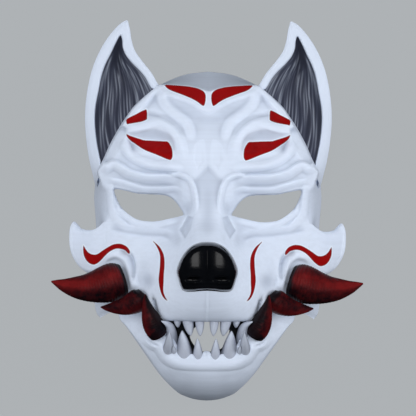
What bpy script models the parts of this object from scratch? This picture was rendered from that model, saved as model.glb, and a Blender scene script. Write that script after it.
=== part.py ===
"""Kitsune face mask: a white hollow fox face with open eyes and bared teeth, two pointed
ears, a black nose and three pairs of curved tusks.

Lengths are in millimetres here and become metres when a mesh is made. The mask lies on its
back rim, with the face up: X to its right side, Y toward the ears, Z out of the face.
"""

import math

import bmesh
import bpy
import numpy as np
from mathutils import Vector

MM = 0.001

# Driving sizes, mm
WALL = 3.0
GAP = 0.4
RIM_STEP = 4.0
FIN_THICKNESS = 4.0
EAR_THICKNESS = 3.6
LINING_THICKNESS = 2.0
LINING_Z = 66.0
CENTRE_Y = 1.2
FACE_ACROSS = 32
FACE_UP = 34

# Back rim of the face, right half, from the top of the dome to the cheek corner
RIM = [
    (0, 104.5), (18, 102), (35.8, 94.6), (51, 84.8), (62, 73.5), (70, 64), (76.5, 53),
    (81, 41.6), (86, 30), (85.3, 19), (85.8, 7.6), (84.2, -13.6), (84.2, -37.9),
    (85, -62), (85, -70.4), (83.5, -78), (81.5, -81),
]

# Lower edge of the face block, and the curved notch cut in it between the cheek corner and the lip
LOWER = [(79, -83), (70, -84), (52, -83), (38, -81), (28, -79.6), (18, -79.3), (0, -79.5)]
NOTCH = [
    (81, -90), (80.6, -82.6), (77.5, -80), (73.5, -77.4), (67, -74), (58, -71.2), (50, -70), (44, -70.5),
    (38, -73.4), (34.5, -76.6), (31, -80), (30, -90),
]

# Height of the face front above the back rim: one row for each y, one value for each x
FRONT_X = [0, 8, 15, 22, 30, 38, 46, 54, 62, 70, 78, 86, 102]
FRONT = [
    (108, [38, 37, 36, 33, 30, 26, 22, 17, 12, 8, 4, 0, -10]),
    (92, [54, 53.5, 53, 52, 50, 47, 43, 38, 33, 28, 24, 20, 10]),
    (80, [61, 61, 60.5, 60, 58.5, 56, 53, 49, 44, 38, 33, 28, 20]),
    (66, [66, 66, 66, 65.5, 64, 62, 59, 55.5, 51, 46, 40, 34, 25]),
    (52, [70, 70, 70, 69, 67.5, 65.5, 63, 60, 56, 51, 46, 41, 32]),
    (40, [72.5, 72.5, 72, 71, 69, 67, 65, 62, 59, 54.5, 50, 45, 36]),
    (30, [74, 74, 73, 71.5, 69.5, 67.5, 66, 64, 61, 57.5, 53.5, 48, 38]),
    (20, [77, 76.5, 74.5, 70, 66.5, 65, 63.5, 62, 59.5, 56, 52, 46, 38]),
    (10, [80.5, 80, 74.5, 67, 62.5, 61, 60, 58.5, 56.5, 53.5, 49.5, 44, 38]),
    (0, [84.5, 83, 73, 66, 62.5, 60.5, 59, 57.5, 55.5, 52.5, 48, 44, 42]),
    (-10, [91, 88.5, 79, 71.5, 67, 64.5, 62, 60, 57.5, 54, 49.5, 46, 46]),
    (-20, [102, 99, 90, 81, 75, 70, 66, 63, 60, 56, 51.5, 48, 48]),
    (-30, [110, 108, 102, 93, 84, 76, 70, 65.5, 61, 57, 52.5, 49, 49]),
    (-42, [113, 112, 108.5, 101, 91, 81, 72, 66, 60.5, 55.5, 51, 48, 48]),
    (-55, [113, 112.5, 110, 104, 95, 84, 73, 65, 58, 52, 48, 45, 44]),
    (-68, [111, 110.5, 108, 103, 94, 82, 70, 61, 54, 48, 44, 40, 36]),
    (-84, [106, 105, 102, 95, 85, 73, 62, 54, 48, 43, 39, 35, 30]),
]

# Rise of the side wall for each mm in from the rim, and how wide its turn into the front is
WALL_RISE = [(-81, 5), (-40, 5), (-14, 5.2), (10, 5.2), (30, 8), (60, 4.6), (88, 4.2), (104.5, 3.6)]
WALL_TURN = [(-81, 9), (-20, 9), (10, 7), (30, 5), (60, 6), (88, 9), (104.5, 10)]

# Carved rolls: crest line from the outside inward, rise, width on its upper and lower side
ROLLS = [
    ([(36, 89), (28, 83.5), (18, 80), (9, 75.5), (4, 72)], 1.4, 7, 2.4),
    ([(36, 88), (33.5, 82), (30.5, 77.5), (26, 73), (21, 69), (16, 64.5), (13, 59), (12, 52),
      (12.5, 42)], 2.2, 6, 6),
    ([(62, 61), (52.5, 61), (46.5, 62), (41, 63), (35, 63.5), (29, 60.5), (25, 56), (23, 51),
      (22, 44.5), (21.5, 37), (21, 30)], 2.8, 6, 3.4),
    ([(64, 52), (59.5, 43.5), (54, 38.5), (47.5, 35), (41, 32.8), (34, 31.2), (26, 31), (18, 30)],
     2.4, 6, 4.4),
    ([(80.5, 29), (75.5, 32), (69, 34), (64, 32), (58, 28.5), (52, 26), (45, 24.5), (37, 24.5),
      (29.5, 24.5), (22, 23)], 3.0, 4.5, 6.2),
    ([(79, 22.5), (73, 21.5), (64, 20.5), (56.5, 18.3), (47, 15.5), (38.5, 15.2), (31, 15),
      (24, 14), (18, 8)], 2.0, 3.2, 4.2),
    ([(30, 24), (21.5, 25.5), (14.5, 23), (11, 18.5), (8.8, 10), (8.6, 2), (10.5, -5.5)],
     2.2, 3.0, 3.4),
    ([(72, 2), (66, -8), (58, -12.6), (47, -14.6), (34, -14), (24, -11), (16, -5)], 1.8, 4, 3),
    ([(78.5, -41), (74, -36.5), (69, -34), (64, -34.6), (60.5, -38), (58, -43.5), (57, -49),
      (55.5, -54), (54, -59)], 3.2, 4.2, 4.2),
    ([(50, -28), (47, -38), (45, -47), (46, -54)], 1.6, 5, 4),
]

# Carved hollows: middle line, depth, width on its upper and lower side
HOLLOWS = [
    ([(60, 55), (53, 52.5), (45.5, 50.8), (37, 50.2), (30, 49.5), (26.5, 45)], 1.8, 7, 2.2),
    ([(72, -14.5), (62, -16.3), (47.5, -18.3), (34.5, -18.8), (27, -21.5)], 1.5, 4, 1.5),
    ([(12.5, -5), (13.5, -11), (16, -19)], 2.4, 4.2, 4.2),
    ([(64, -29.5), (59.5, -30), (56, -32.5), (53.6, -38), (53, -44.5), (54, -50)], 2.2, 2.6, 2.6),
    ([(42.5, -49), (39.5, -51.5), (39, -55)], 1.8, 3.2, 3.2),
    ([(0, -57), (0, -66), (0, -80)], 0.9, 1.6, 1.6),
]

EYE = [
    (68.2, 14.5), (60.3, 13.7), (51.5, 11.7), (42.7, 11.2), (33.8, 10.8), (28.6, 9.7),
    (24.1, 6.6), (20.6, 2.2), (17.5, -3.1), (20.6, -4.7), (28.6, -6.6), (37.4, -8.4),
    (44.4, -8.4), (51.5, -7.1), (57.6, -3.5), (62.9, 1.3), (66.4, 7.5),
]

# Fin at the side of the cheek, which carries the cheek front out past the side wall
FIN = [
    (78, -6), (81.5, -13), (85, -15.2), (89.5, -15.2), (93.5, -14), (96, -11.4), (98, -9),
    (99.7, -10.2), (101.2, -14), (101.6, -20.5), (101, -28), (99, -34.5), (95.5, -40.5),
    (91.5, -44.5), (86, -47.5), (78, -49), (72, -47), (69, -38), (69, -22), (72, -10),
]

# Teeth: x and y of the root, x and y of the tip, radius of the root
UPPER_TEETH = [((21.3, -76), (20.9, -84.5), 2.7), ((14.6, -76), (11.9, -89.8), 3.2),
               ((5.6, -76), (4.8, -89.8), 2.9)]
LOWER_TEETH = [((26.5, -100), (26.4, -88), 3.4), ((16.8, -103), (18.0, -86.5), 4.6),
               ((6.6, -106), (7.0, -92), 3.1), ((24.2, -102.5), (24.5, -96), 2.6)]
LOWER_TEETH_Z = 85.5

# Lower jaw: outer edge on the back rim and inner edge along the gum, right half
JAW_OUTER = [
    (68, -64), (66.5, -74), (64.9, -81.8), (60.3, -87), (51.2, -99.9), (43.7, -110.5),
    (36.1, -121), (27, -131), (18.7, -138.5), (9.6, -142.3), (0, -143.4),
]
JAW_INNER = [
    (46, -64), (42.5, -70), (37, -76.5), (30.5, -79.8), (25.8, -80.5), (23, -87.5), (21.8, -94),
    (18.5, -99), (12.5, -102.3), (6.5, -104.2), (0, -103.8),
]
JAW_X = [0, 10, 20, 30, 40, 50, 60, 70]
JAW = [
    (-60, [80, 80, 80, 76, 64, 56, 48, 36]),
    (-80, [84, 84, 82, 78, 67, 55, 42, 26]),
    (-92, [86, 86, 84.5, 79, 67, 51, 34, 16]),
    (-101, [88, 88, 86, 79, 65, 45, 22, 0]),
    (-107, [89.5, 89, 87, 78, 60, 38, 12, -10]),
    (-111, [88.5, 88, 84, 74, 54, 30, 0, -20]),
    (-116, [82, 81.5, 78, 68, 46, 20, -10, -30]),
    (-123, [80.5, 79.5, 74, 60, 34, 8, -20, -40]),
    (-131, [77, 75, 66, 44, 16, -8, -30, -50]),
    (-138, [68, 64, 48, 20, -5, -20, -40, -60]),
    (-144, [52, 46, 24, -5, -20, -40, -50, -70]),
]
JAW_WALL_RISE = 4.4

# Ear: outer and inner edge from the root to the tip, and the height of each
EAR_OUTER = [(83.5, 17), (86, 27), (88.5, 38), (90.5, 51.5), (91.5, 65.5), (91, 78.5), (89, 92.5),
             (85.5, 106), (80, 118.5), (73.5, 129.5), (66.5, 137.7), (61.3, 141)]
EAR_INNER = [(76, 24), (63, 36), (50, 52), (38, 68), (31, 80), (36, 92.5), (42, 101), (49.5, 110.5),
             (54.5, 118), (57.3, 126), (58.6, 134), (60.3, 140.6)]
EAR_OUTER_Z = [26, 28, 30, 31, 32, 33, 34, 35, 36, 37, 37.5, 38]
EAR_INNER_Z = [30, 34, 38, 41, 43, 45, 45, 44, 42, 40, 38.5, 38]
EAR_DISH = 11.0

# Nose pad: outline about its middle, and the height of its front
NOSE_MIDDLE = (0, -41)
NOSE = [
    (0, -22.3), (5, -22.7), (10, -24.6), (14.5, -28.2), (18.8, -34.5), (21.2, -42.5),
    (19.6, -49), (17.6, -55), (15.2, -56.8), (10, -56.6), (5, -55.8), (0, -55.4),
]
NOSE_FRONT = 128.0

# Tusks: points along the middle line with a radius each
TUSK_UPPER = [
    (60.5, -50.5, 56, 11.4), (65, -51.8, 57, 13.2), (70, -52.8, 58, 13.6), (76, -54.3, 59, 12.6),
    (83, -55.8, 60, 10.9), (90, -56.5, 61, 9.2), (97, -56.3, 61.5, 7.3), (103.5, -55.3, 62, 5.0),
    (109, -53.9, 62, 2.7), (113.3, -52.6, 62, 0.5),
]
TUSK_MIDDLE = [
    (45.5, -62, 70, 5.6), (49, -64.3, 70, 7.8), (53, -66.4, 69.5, 8.0), (57.5, -68.6, 68.8, 6.9),
    (62, -70, 68, 5.5), (67, -71, 67, 4.0), (72, -71.4, 66, 2.3), (76.8, -71.2, 65, 0.5),
]
TUSK_LOWER = [
    (35.2, -89.5, 75, 4.6), (36.6, -86.5, 77, 7.2), (38.3, -82, 79.5, 7.9), (40.3, -77.5, 81.5, 7.2),
    (42.2, -72.8, 83, 5.4), (43.6, -68, 84, 3.6), (44.4, -63.5, 84.5, 2.1), (44.6, -59.3, 84.6, 0.5),
]

# Uneven hole in the lining plate behind the teeth
LINING_HOLE = [
    (11.5, -81), (4, -80.6), (-3, -81), (-8.5, -85), (-11.5, -88), (-12.3, -92), (-10, -97),
    (-5.5, -102), (0, -102.6), (5.5, -102.2), (11, -100), (14.6, -92.5), (16.4, -87),
]


def smooth_line(points, per=6, closed=False):
    """Smooth curve through the points."""
    p = np.array(points, float)
    if closed:
        q = np.vstack([p[-1:], p, p[:2]])
    else:
        q = np.vstack([2 * p[:1] - p[1:2], p, 2 * p[-1:] - p[-2:-1]])
    t = np.linspace(0, 1, per, endpoint=False)[:, None]
    out = []
    for i in range(1, len(q) - 2):
        a, b, c, d = q[i - 1], q[i], q[i + 1], q[i + 2]
        out.append(0.5 * (2 * b + (c - a) * t + (2 * a - 5 * b + 4 * c - d) * t**2
                          + (3 * b - a - 3 * c + d) * t**3))
    out = np.vstack(out)
    return out if closed else np.vstack([out, p[-1:]])


def along(pairs, v):
    """Value at v of a smooth line through (position, value) pairs."""
    p = smooth_line(pairs, 10)
    return np.interp(v, p[:, 0], p[:, 1])


def low_blend(a, b, k):
    """The lower of two heights, with a rounded turn k wide between them."""
    h = np.clip(0.5 + 0.5 * (b - a) / k, 0, 1)
    return b * (1 - h) + a * h - k * h * (1 - h)


def high_blend(a, b, k):
    return -low_blend(-a, -b, k)


def nearest(x, y, line):
    """Distance to a line, with its side (+ to the left of travel) and its share of the length."""
    a = line[:-1]
    d = line[1:] - a
    ll = (d**2).sum(1)
    start = np.concatenate([[0], np.cumsum(np.sqrt(ll))])
    qx = x[:, None] - a[:, 0]
    qy = y[:, None] - a[:, 1]
    t = np.clip((qx * d[:, 0] + qy * d[:, 1]) / ll, 0, 1)
    away = np.hypot(qx - t * d[:, 0], qy - t * d[:, 1])
    j = away.argmin(1)
    k = np.arange(len(j))
    side = np.sign(d[j, 0] * qy[k, j] - d[j, 1] * qx[k, j])
    share = (start[j] + t[k, j] * np.sqrt(ll[j])) / start[-1]
    return away[k, j] * side, share


def steps(knots, values, at):
    """Smooth values between knots, row by row."""
    xk = np.array(knots, float)
    yk = np.array(values, float)
    h = np.diff(xk)[:, None]
    d = np.diff(yk, axis=0) / h
    m = np.zeros_like(yk)
    m[1:-1] = (h[1:] * d[:-1] + h[:-1] * d[1:]) / (h[1:] + h[:-1])
    m[0] = d[0]
    m[-1] = d[-1]
    i = np.clip(np.searchsorted(xk, at) - 1, 0, len(xk) - 2)
    w = h[i]
    t = (at - xk[i])[:, None] / w
    return ((2 * t**3 - 3 * t**2 + 1) * yk[i] + (t**3 - 2 * t**2 + t) * w * m[i]
            + (3 * t**2 - 2 * t**3) * yk[i + 1] + (t**3 - t**2) * w * m[i + 1])


def sheet(xs, rows):
    """A 1 mm grid of heights, even about x = 0, from a few rows of heights."""
    ys = [row[0] for row in rows][::-1]
    values = np.array([row[1] for row in rows][::-1], float)
    values = np.hstack([values[:, 2:3], values[:, 1:2], values])
    both = [-xs[2], -xs[1]] + list(xs)
    tall = steps(ys, values, np.arange(ys[0], ys[-1] + 0.5))
    return ys[0], steps(both, tall.T, np.arange(0, xs[-1] + 0.5)).T


def read(grid, x, y):
    y0, g = grid
    fx = np.clip(np.abs(x), 0, g.shape[1] - 1.001)
    fy = np.clip(y - y0, 0, g.shape[0] - 1.001)
    i = fx.astype(int)
    j = fy.astype(int)
    u = fx - i
    v = fy - j
    return ((g[j, i] * (1 - u) + g[j, i + 1] * u) * (1 - v)
            + (g[j + 1, i] * (1 - u) + g[j + 1, i + 1] * u) * v)


FRONT_SHEET = sheet(FRONT_X, FRONT)
JAW_SHEET = sheet(JAW_X, JAW)
RIM_LINE = np.vstack([[(-10, 104.5)], smooth_line(RIM, 4)])
LIP_LINE = smooth_line([(36, -79.5), (28, -79.5), (18, -79.3), (0, -79.5)], 4)
JAW_RIM_LINE = np.vstack([smooth_line(JAW_OUTER, 4), [(-10, -143.4)]])


def fade(share, ends=0.16):
    t = np.clip(np.minimum(share, 1 - share) / ends, 0, 1)
    return t * t * (3 - 2 * t)


def band(x, y, points, upper, lower):
    """1 on the line, falling to 0 at the given widths above and below it."""
    t, share = nearest(x, y, smooth_line(points, 6))
    t = np.where(t > 0, t / lower, -t / upper)
    return np.maximum(1 - t**2, 0) * fade(share)


def relief(x, y):
    """Carving of the face front, right half, mm out of the plain form."""
    z = np.zeros_like(x)
    for points, rise, upper, lower in ROLLS:
        z = high_blend(z, rise * band(x, y, points, upper, lower), 0.5)
    for points, depth, upper, lower in HOLLOWS:
        z = z - depth * band(x, y, points, upper, lower)
    return z


def rim_wall(x, y):
    d, share = nearest(x, y, RIM_LINE)
    return RIM_STEP - along(WALL_RISE, y) * d


def plain_height(x, y):
    x = np.abs(x)
    return low_blend(read(FRONT_SHEET, x, y), rim_wall(x, y), along(WALL_TURN, y))


def front_height(x, y):
    """Front of the face with its carving, before the side wall turns down."""
    x = np.abs(x)
    d, share = nearest(x, y, LIP_LINE)
    lip = 3.5 * np.clip(1 - np.abs(d) / 5.0, 0, 1)**2 * (x < 38)
    return read(FRONT_SHEET, x, y) + relief(x, y) - lip


def face_height(x, y):
    x = np.abs(x)
    z = low_blend(front_height(x, y), rim_wall(x, y), along(WALL_TURN, y))
    return np.maximum(z, 1.0)


def jaw_height(x, y):
    x = np.abs(x)
    d, share = nearest(x, y, JAW_RIM_LINE)
    z = low_blend(read(JAW_SHEET, x, y), RIM_STEP - JAW_WALL_RISE * d, 12.0)
    under = inner_height(x, y) - GAP - 0.6
    return np.maximum(np.where(y > -86, np.minimum(z, under), z), 1.0)


def tilt(height, x, y):
    """Length of the surface normal for a unit of its Z part."""
    e = 0.5
    gx = (height(x + e, y) - height(x - e, y)) / (2 * e)
    gy = (height(x, y + e) - height(x, y - e)) / (2 * e)
    return np.sqrt(1 + gx**2 + gy**2)


def inner_height(x, y):
    """Inside of the face, one wall thickness under its plain form."""
    x = np.abs(x)
    cut = np.minimum(relief(x, y), 0)
    return plain_height(x, y) + cut - WALL * tilt(plain_height, x, y)


def inner_jaw(x, y):
    return jaw_height(x, y) - WALL * tilt(jaw_height, x, y)


def mirrored(points):
    """Closed outline from the right half of it, which starts and ends on x = 0."""
    half = np.array(points, float)
    left = half[1:-1][::-1] * (-1, 1)
    return np.vstack([half, left])


def disc_points(across, up):
    """Square grid laid on a round disc ring by ring: radius and direction of each point."""
    u, v = np.meshgrid(np.linspace(-1, 1, across + 1), np.linspace(-1, 1, up + 1))
    u = u.ravel()
    v = v.ravel()
    wide = np.abs(u) > np.abs(v)
    radius = np.maximum(np.abs(u), np.abs(v))
    whole = np.where(radius > 0, radius, 1)
    turn = math.pi / 4 * np.where(wide, v, u) / whole
    angle = np.where(wide, np.where(u > 0, turn, math.pi - turn),
                     np.where(v > 0, math.pi / 2 - turn, turn - math.pi / 2))
    return radius, angle


def spread(outline, centre, across, up, edge=1.5):
    """The disc points spread over an outline seen from centre, closer together at its edge."""
    radius, angle = disc_points(across, up)
    o = outline - centre
    phi = np.arctan2(o[:, 1], o[:, 0])
    order = np.argsort(phi)
    phi = phi[order]
    r = np.hypot(o[:, 0], o[:, 1])[order]
    phi = np.concatenate([phi - 2 * math.pi, phi, phi + 2 * math.pi])
    reach = np.interp(angle, phi, np.concatenate([r, r, r]))
    reach = reach * (1 - (1 - np.minimum(radius, 1))**edge)
    return centre[0] + reach * np.cos(angle), centre[1] + reach * np.sin(angle)


def new_object(name, bm, colour, roughness, group):
    bmesh.ops.recalc_face_normals(bm, faces=bm.faces)
    if bm.calc_volume(signed=True) < 0:
        bmesh.ops.reverse_faces(bm, faces=bm.faces)
    mesh = bpy.data.meshes.new(name)
    bm.to_mesh(mesh)
    bm.free()
    return add_mesh(name, mesh, colour, roughness, group)


def add_mesh(name, mesh, colour, roughness, group):
    obj = bpy.data.objects.new(name, mesh)
    group.objects.link(obj)
    if colour is not None:
        mesh.materials.clear()
        mesh.materials.append(paint(name, colour, roughness))
    return obj


def paint(name, colour, roughness):
    material = bpy.data.materials.new(name + "_finish")
    material.use_nodes = True
    shader = material.node_tree.nodes["Principled BSDF"]
    shader.inputs["Base Color"].default_value = (*colour, 1)
    shader.inputs["Roughness"].default_value = roughness
    shader.inputs["Metallic"].default_value = 0
    material.diffuse_color = (*colour, 1)
    return material


def formed_grid(across, up, x, y, z):
    """Open grid with its points moved to x, y, z, row by row from the lower left."""
    bm = bmesh.new()
    bmesh.ops.create_grid(bm, x_segments=across, y_segments=up, size=1)
    rows = sorted(bm.verts, key=lambda v: (round(v.co.y, 5), round(v.co.x, 5)))
    for k, v in enumerate(rows):
        v.co = (x[k] * MM, y[k] * MM, z[k] * MM)
    return bm


def block(name, x, y, z, across, up, floor, group, colour=None, roughness=0.5):
    """Closed block with a formed top over a flat grid, down to the floor height."""
    bm = formed_grid(across, up, x, y, z)
    made = bmesh.ops.extrude_edge_only(bm, edges=[e for e in bm.edges if e.is_boundary])["geom"]
    for v in made:
        if isinstance(v, bmesh.types.BMVert):
            v.co.z = floor * MM
    bmesh.ops.holes_fill(bm, edges=[e for e in bm.edges if e.is_boundary], sides=0)
    return new_object(name, bm, colour, roughness, group)


def slab(name, x, y, z, across, up, thickness, group, colour=None, roughness=0.5):
    """Closed slab of even height under a formed grid."""
    bm = formed_grid(across, up, x, y, z)
    made = bmesh.ops.extrude_face_region(bm, geom=list(bm.faces))["geom"]
    for v in made:
        if isinstance(v, bmesh.types.BMVert):
            v.co.z -= thickness * MM
    return new_object(name, bm, colour, roughness, group)


def combine(obj, cutter, operation):
    """Boolean of obj with cutter, applied."""
    mod = obj.modifiers.new("combine", "BOOLEAN")
    mod.operation = operation
    mod.solver = "EXACT"
    mod.object = cutter
    bpy.context.view_layer.update()
    done = bpy.data.meshes.new_from_object(obj.evaluated_get(bpy.context.evaluated_depsgraph_get()))
    obj.modifiers.remove(mod)
    materials = list(obj.data.materials)
    old = obj.data
    obj.data = done
    bpy.data.meshes.remove(old)
    done.materials.clear()
    for m in materials:
        if m is not None:
            done.materials.append(m)
    for polygon in done.polygons:
        polygon.material_index = 0
    merge_slivers(done)


def merge_slivers(mesh):
    """Merge points closer than 0.02 mm, so that no edge is shorter."""
    bm = bmesh.new()
    bm.from_mesh(mesh)
    bmesh.ops.triangulate(bm, faces=[f for f in bm.faces if len(f.verts) > 4])
    bmesh.ops.remove_doubles(bm, verts=bm.verts, dist=0.00002)
    bmesh.ops.dissolve_degenerate(bm, edges=bm.edges, dist=0.000005)
    bm.to_mesh(mesh)
    bm.free()


def hide_cutter(obj):
    obj.hide_render = True
    obj.display_type = "WIRE"


def swollen(name, source, by, group):
    """Copy of a closed body with its skin moved out."""
    bm = bmesh.new()
    bm.from_mesh(source.data)
    bm.normal_update()
    moved = [v.co + v.normal * by * MM for v in bm.verts]
    for v, co in zip(bm.verts, moved):
        v.co = co
    obj = new_object(name, bm, None, 0, group)
    hide_cutter(obj)
    return obj


def plate(name, outline, low, high, group):
    """Flat plate between two heights with a smooth closed outline, mirrored when asked."""
    curve = bpy.data.curves.new(name, "CURVE")
    curve.dimensions = "2D"
    curve.fill_mode = "BOTH"
    curve.extrude = (high - low) / 2 * MM
    for points in outline:
        spline = curve.splines.new("POLY")
        spline.points.add(len(points) - 1)
        for point, (px, py) in zip(spline.points, points):
            point.co = (px * MM, py * MM, 0, 1)
        spline.use_cyclic_u = True
    return solid_curve(name, curve, (0, 0, (high + low) / 2 * MM), group)


def solid_curve(name, curve, place, group):
    """Closed mesh object of a curve, its caps welded."""
    guide = bpy.data.objects.new(name + "_guide", curve)
    group.objects.link(guide)
    bpy.context.view_layer.update()
    mesh = bpy.data.meshes.new_from_object(guide.evaluated_get(bpy.context.evaluated_depsgraph_get()))
    bm = bmesh.new()
    bm.from_mesh(mesh)
    bmesh.ops.remove_doubles(bm, verts=bm.verts, dist=0.00001)
    bmesh.ops.translate(bm, verts=bm.verts, vec=Vector(place))
    bpy.data.meshes.remove(mesh)
    bpy.data.objects.remove(guide)
    bpy.data.curves.remove(curve)
    return new_object(name, bm, None, 0, group)


def cone(name, root, tip, root_z, tip_z, radius, group):
    """Tooth: a cone from its root to its tip."""
    a = Vector((root[0], root[1], root_z)) * MM
    b = Vector((tip[0], tip[1], tip_z)) * MM
    bm = bmesh.new()
    made = bmesh.ops.create_cone(bm, cap_ends=True, segments=8, radius1=radius * MM,
                                 radius2=0.35 * MM, depth=(b - a).length)
    turn = (b - a).to_track_quat("Z", "Y").to_matrix()
    for v in made["verts"]:
        v.co = turn @ v.co + (a + b) / 2
    obj = new_object(name, bm, None, 0, group)
    hide_cutter(obj)
    return obj


def make_face(parts, cutters):
    outline = mirrored(np.vstack([smooth_line(RIM, 4), smooth_line(LOWER, 4)]))
    x, y = spread(outline, (0, 5), FACE_ACROSS, FACE_UP)
    face = block("face_shell", x, y, face_height(x, y), FACE_ACROSS, FACE_UP, 0, parts,
                 (0.80, 0.84, 0.90), 0.38)
    for side in (1, -1):
        fin = make_fin(side, cutters)
        combine(face, fin, "UNION")
    for side in (1, -1):
        notch = np.array(NOTCH, float) * (side, 1)
        cutter = plate("cheek_notch", [notch], -5, 130, cutters)
        hide_cutter(cutter)
        combine(face, cutter, "DIFFERENCE")
    outside = swollen("face_outside", face, GAP, cutters)
    inset = inner_outline()
    x, y = spread(inset, (0, 5), 16, 16)
    hollow = block("face_hollow", x, y, np.maximum(inner_height(x, y), -4), 16, 16, -6, cutters)
    hide_cutter(hollow)
    combine(face, hollow, "DIFFERENCE")
    for side in (1, -1):
        eye = smooth_line(EYE, 2, True) * (side, 1)
        cutter = plate("eye_cutter", [eye], 20, 110, cutters)
        hide_cutter(cutter)
        combine(face, cutter, "DIFFERENCE")
        for root, tip, radius in UPPER_TEETH:
            root_z = float(front_height(np.array([root[0]]), np.array([root[1]]))[0]) - 3.6
            tooth = cone("upper_tooth", (root[0] * side, root[1]), (tip[0] * side, tip[1]),
                         root_z, root_z - 2, radius, cutters)
            combine(face, tooth, "UNION")
    return face, outside


def inner_outline():
    """Outline of the hollow: inside the back rim, and out past the lip and the cheek edge."""
    line = smooth_line(RIM, 4)
    way = np.gradient(line, axis=0)
    way = way / np.hypot(way[:, 0], way[:, 1])[:, None]
    inset = line + np.stack([way[:, 1], -way[:, 0]], 1) * 2.6
    inset[0] = (0, 104.5 - 2.6)
    inset = inset[inset[:, 1] > -76]
    low = np.array([(78.4, -84), (73, -93), (50, -97), (25, -98), (0, -98)], float)
    return mirrored(np.vstack([inset, low]))


def make_fin(side, cutters):
    """Cheek fin: a slab whose top carries on the cheek front."""
    outline = smooth_line(FIN, 3, True)
    x, y = spread(outline, (84, -28), 7, 7)
    edge = np.abs(nearest(x, y, np.vstack([outline, outline[:1]]))[0])
    turn = 1.5 * np.clip(1 - edge / 2.5, 0, 1)**2 * np.clip((x - 80) / 5, 0, 1)
    turn = turn + 1.2 * np.clip((77 - x) / 5, 0, 1)
    fin = slab("cheek_fin", x * side, y, front_height(x, y) - turn, 7, 7, FIN_THICKNESS, cutters)
    hide_cutter(fin)
    return fin


def even(points, count, per=8):
    """Points spaced evenly by length along a smooth line."""
    line = smooth_line(points, per)
    step = np.concatenate([[0], np.cumsum(np.hypot(*np.diff(line[:, :2], axis=0).T))])
    at = np.linspace(0, step[-1], count)
    return np.stack([np.interp(at, step, line[:, k]) for k in range(line.shape[1])], 1)


def strip(outer, inner, shares):
    """Grid rows from an outer to an inner edge, both mirrored about x = 0."""
    both = []
    for edge in (outer, inner):
        both.append(np.vstack([edge * (-1, 1), edge[-2::-1]]))
    rows = [both[0] + (both[1] - both[0]) * t for t in shares]
    return np.vstack(rows)


def make_jaw(parts, cutters):
    shares = [0, 0.06, 0.14, 0.25, 0.38, 0.5, 0.61, 0.7, 0.78, 0.86, 0.93, 1]
    p = strip(even(JAW_OUTER, 14), even(JAW_INNER, 14), shares)
    x, y = p[:, 0], p[:, 1]
    jaw = block("lower_jaw", x, y, jaw_height(x, y), 26, len(shares) - 1, 0, parts,
                (0.80, 0.84, 0.90), 0.38)
    outside = swollen("jaw_outside", jaw, GAP, cutters)
    outer = even([(66.5, -56), (64, -74), (62.3, -81.2), (57.9, -85.6), (48.9, -98.7), (41.5, -109.2),
                  (34, -119.5), (25.2, -129.2), (17.5, -136.1), (9, -139.8), (0, -140.8)], 10)
    inner = even([(40, -56), (36, -66), (30, -72), (22, -78), (18, -84), (16, -92), (13, -96),
                  (6, -98), (0, -98)], 10)
    p = strip(outer, inner, [0, 0.08, 0.2, 0.35, 0.5, 0.65, 0.8, 1])
    x, y = p[:, 0], p[:, 1]
    hollow = block("jaw_hollow", x, y, np.maximum(inner_jaw(x, y), -4), 18, 7, -6, cutters)
    hide_cutter(hollow)
    combine(jaw, hollow, "DIFFERENCE")
    for side in (1, -1):
        for root, tip, radius in LOWER_TEETH:
            tooth = cone("lower_tooth", (root[0] * side, root[1]), (tip[0] * side, tip[1]),
                         LOWER_TEETH_Z, LOWER_TEETH_Z + 3, radius, cutters)
            combine(jaw, tooth, "UNION")
    return jaw, outside


def make_nose(parts, cutters, outside):
    outline = mirrored(smooth_line(NOSE, 3))
    x, y = spread(outline, NOSE_MIDDLE, 12, 12)
    away = np.abs(nearest(x, y, np.vstack([outline, outline[:1]]))[0])
    z = NOSE_FRONT - 13 * np.clip(1 - away / 7.5, 0, 1)**2.2
    z = z - 1.6 * np.exp(-(x / 1.9)**2) * np.clip((y + 54) / 5, 0, 1)
    z = z + 1.2 * np.exp(-((np.abs(x) - 8.5) / 4)**2 - ((y + 35) / 6)**2)
    nose = block("nose", x, y, z, 12, 12, 98, parts, (0.01, 0.01, 0.012), 0.12)
    combine(nose, outside, "DIFFERENCE")
    for side in (1, -1):
        bm = bmesh.new()
        bmesh.ops.create_uvsphere(bm, u_segments=10, v_segments=6, radius=1)
        bmesh.ops.scale(bm, verts=bm.verts, vec=Vector((5.2, 1.7, 3.6)) * MM)
        bmesh.ops.translate(bm, verts=bm.verts, vec=Vector((10.6 * side, -48.2, 127.2)) * MM)
        nostril = new_object("nostril", bm, None, 0, cutters)
        hide_cutter(nostril)
        combine(nose, nostril, "DIFFERENCE")
    return nose


def make_lining(parts):
    """Plate fitted to the inside of the muzzle and jaw, a little short of their walls."""
    outline = []
    short = 1.2
    for angle in np.linspace(0, 2 * math.pi, 36, endpoint=False):
        reach = np.arange(0, 60, 0.25)
        x = reach * math.cos(angle)
        y = -90 + reach * math.sin(angle)
        free = (inner_jaw(x, y) > LINING_Z + LINING_THICKNESS / 2) & (y < -74) & (y > -109)
        last = np.argmin(free) - 1
        last = max(last, 1)
        keep = 1 - short / reach[last]
        outline.append((x[last] * keep, -90 + (y[last] + 90) * keep))
    low = LINING_Z - LINING_THICKNESS / 2
    lining = plate("mouth_lining", [np.array(outline), smooth_line(LINING_HOLE, 2, True)],
                   low, low + LINING_THICKNESS, parts)
    lining.data.materials.append(paint("mouth_lining", (0.01, 0.01, 0.012), 0.7))
    return lining


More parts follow.
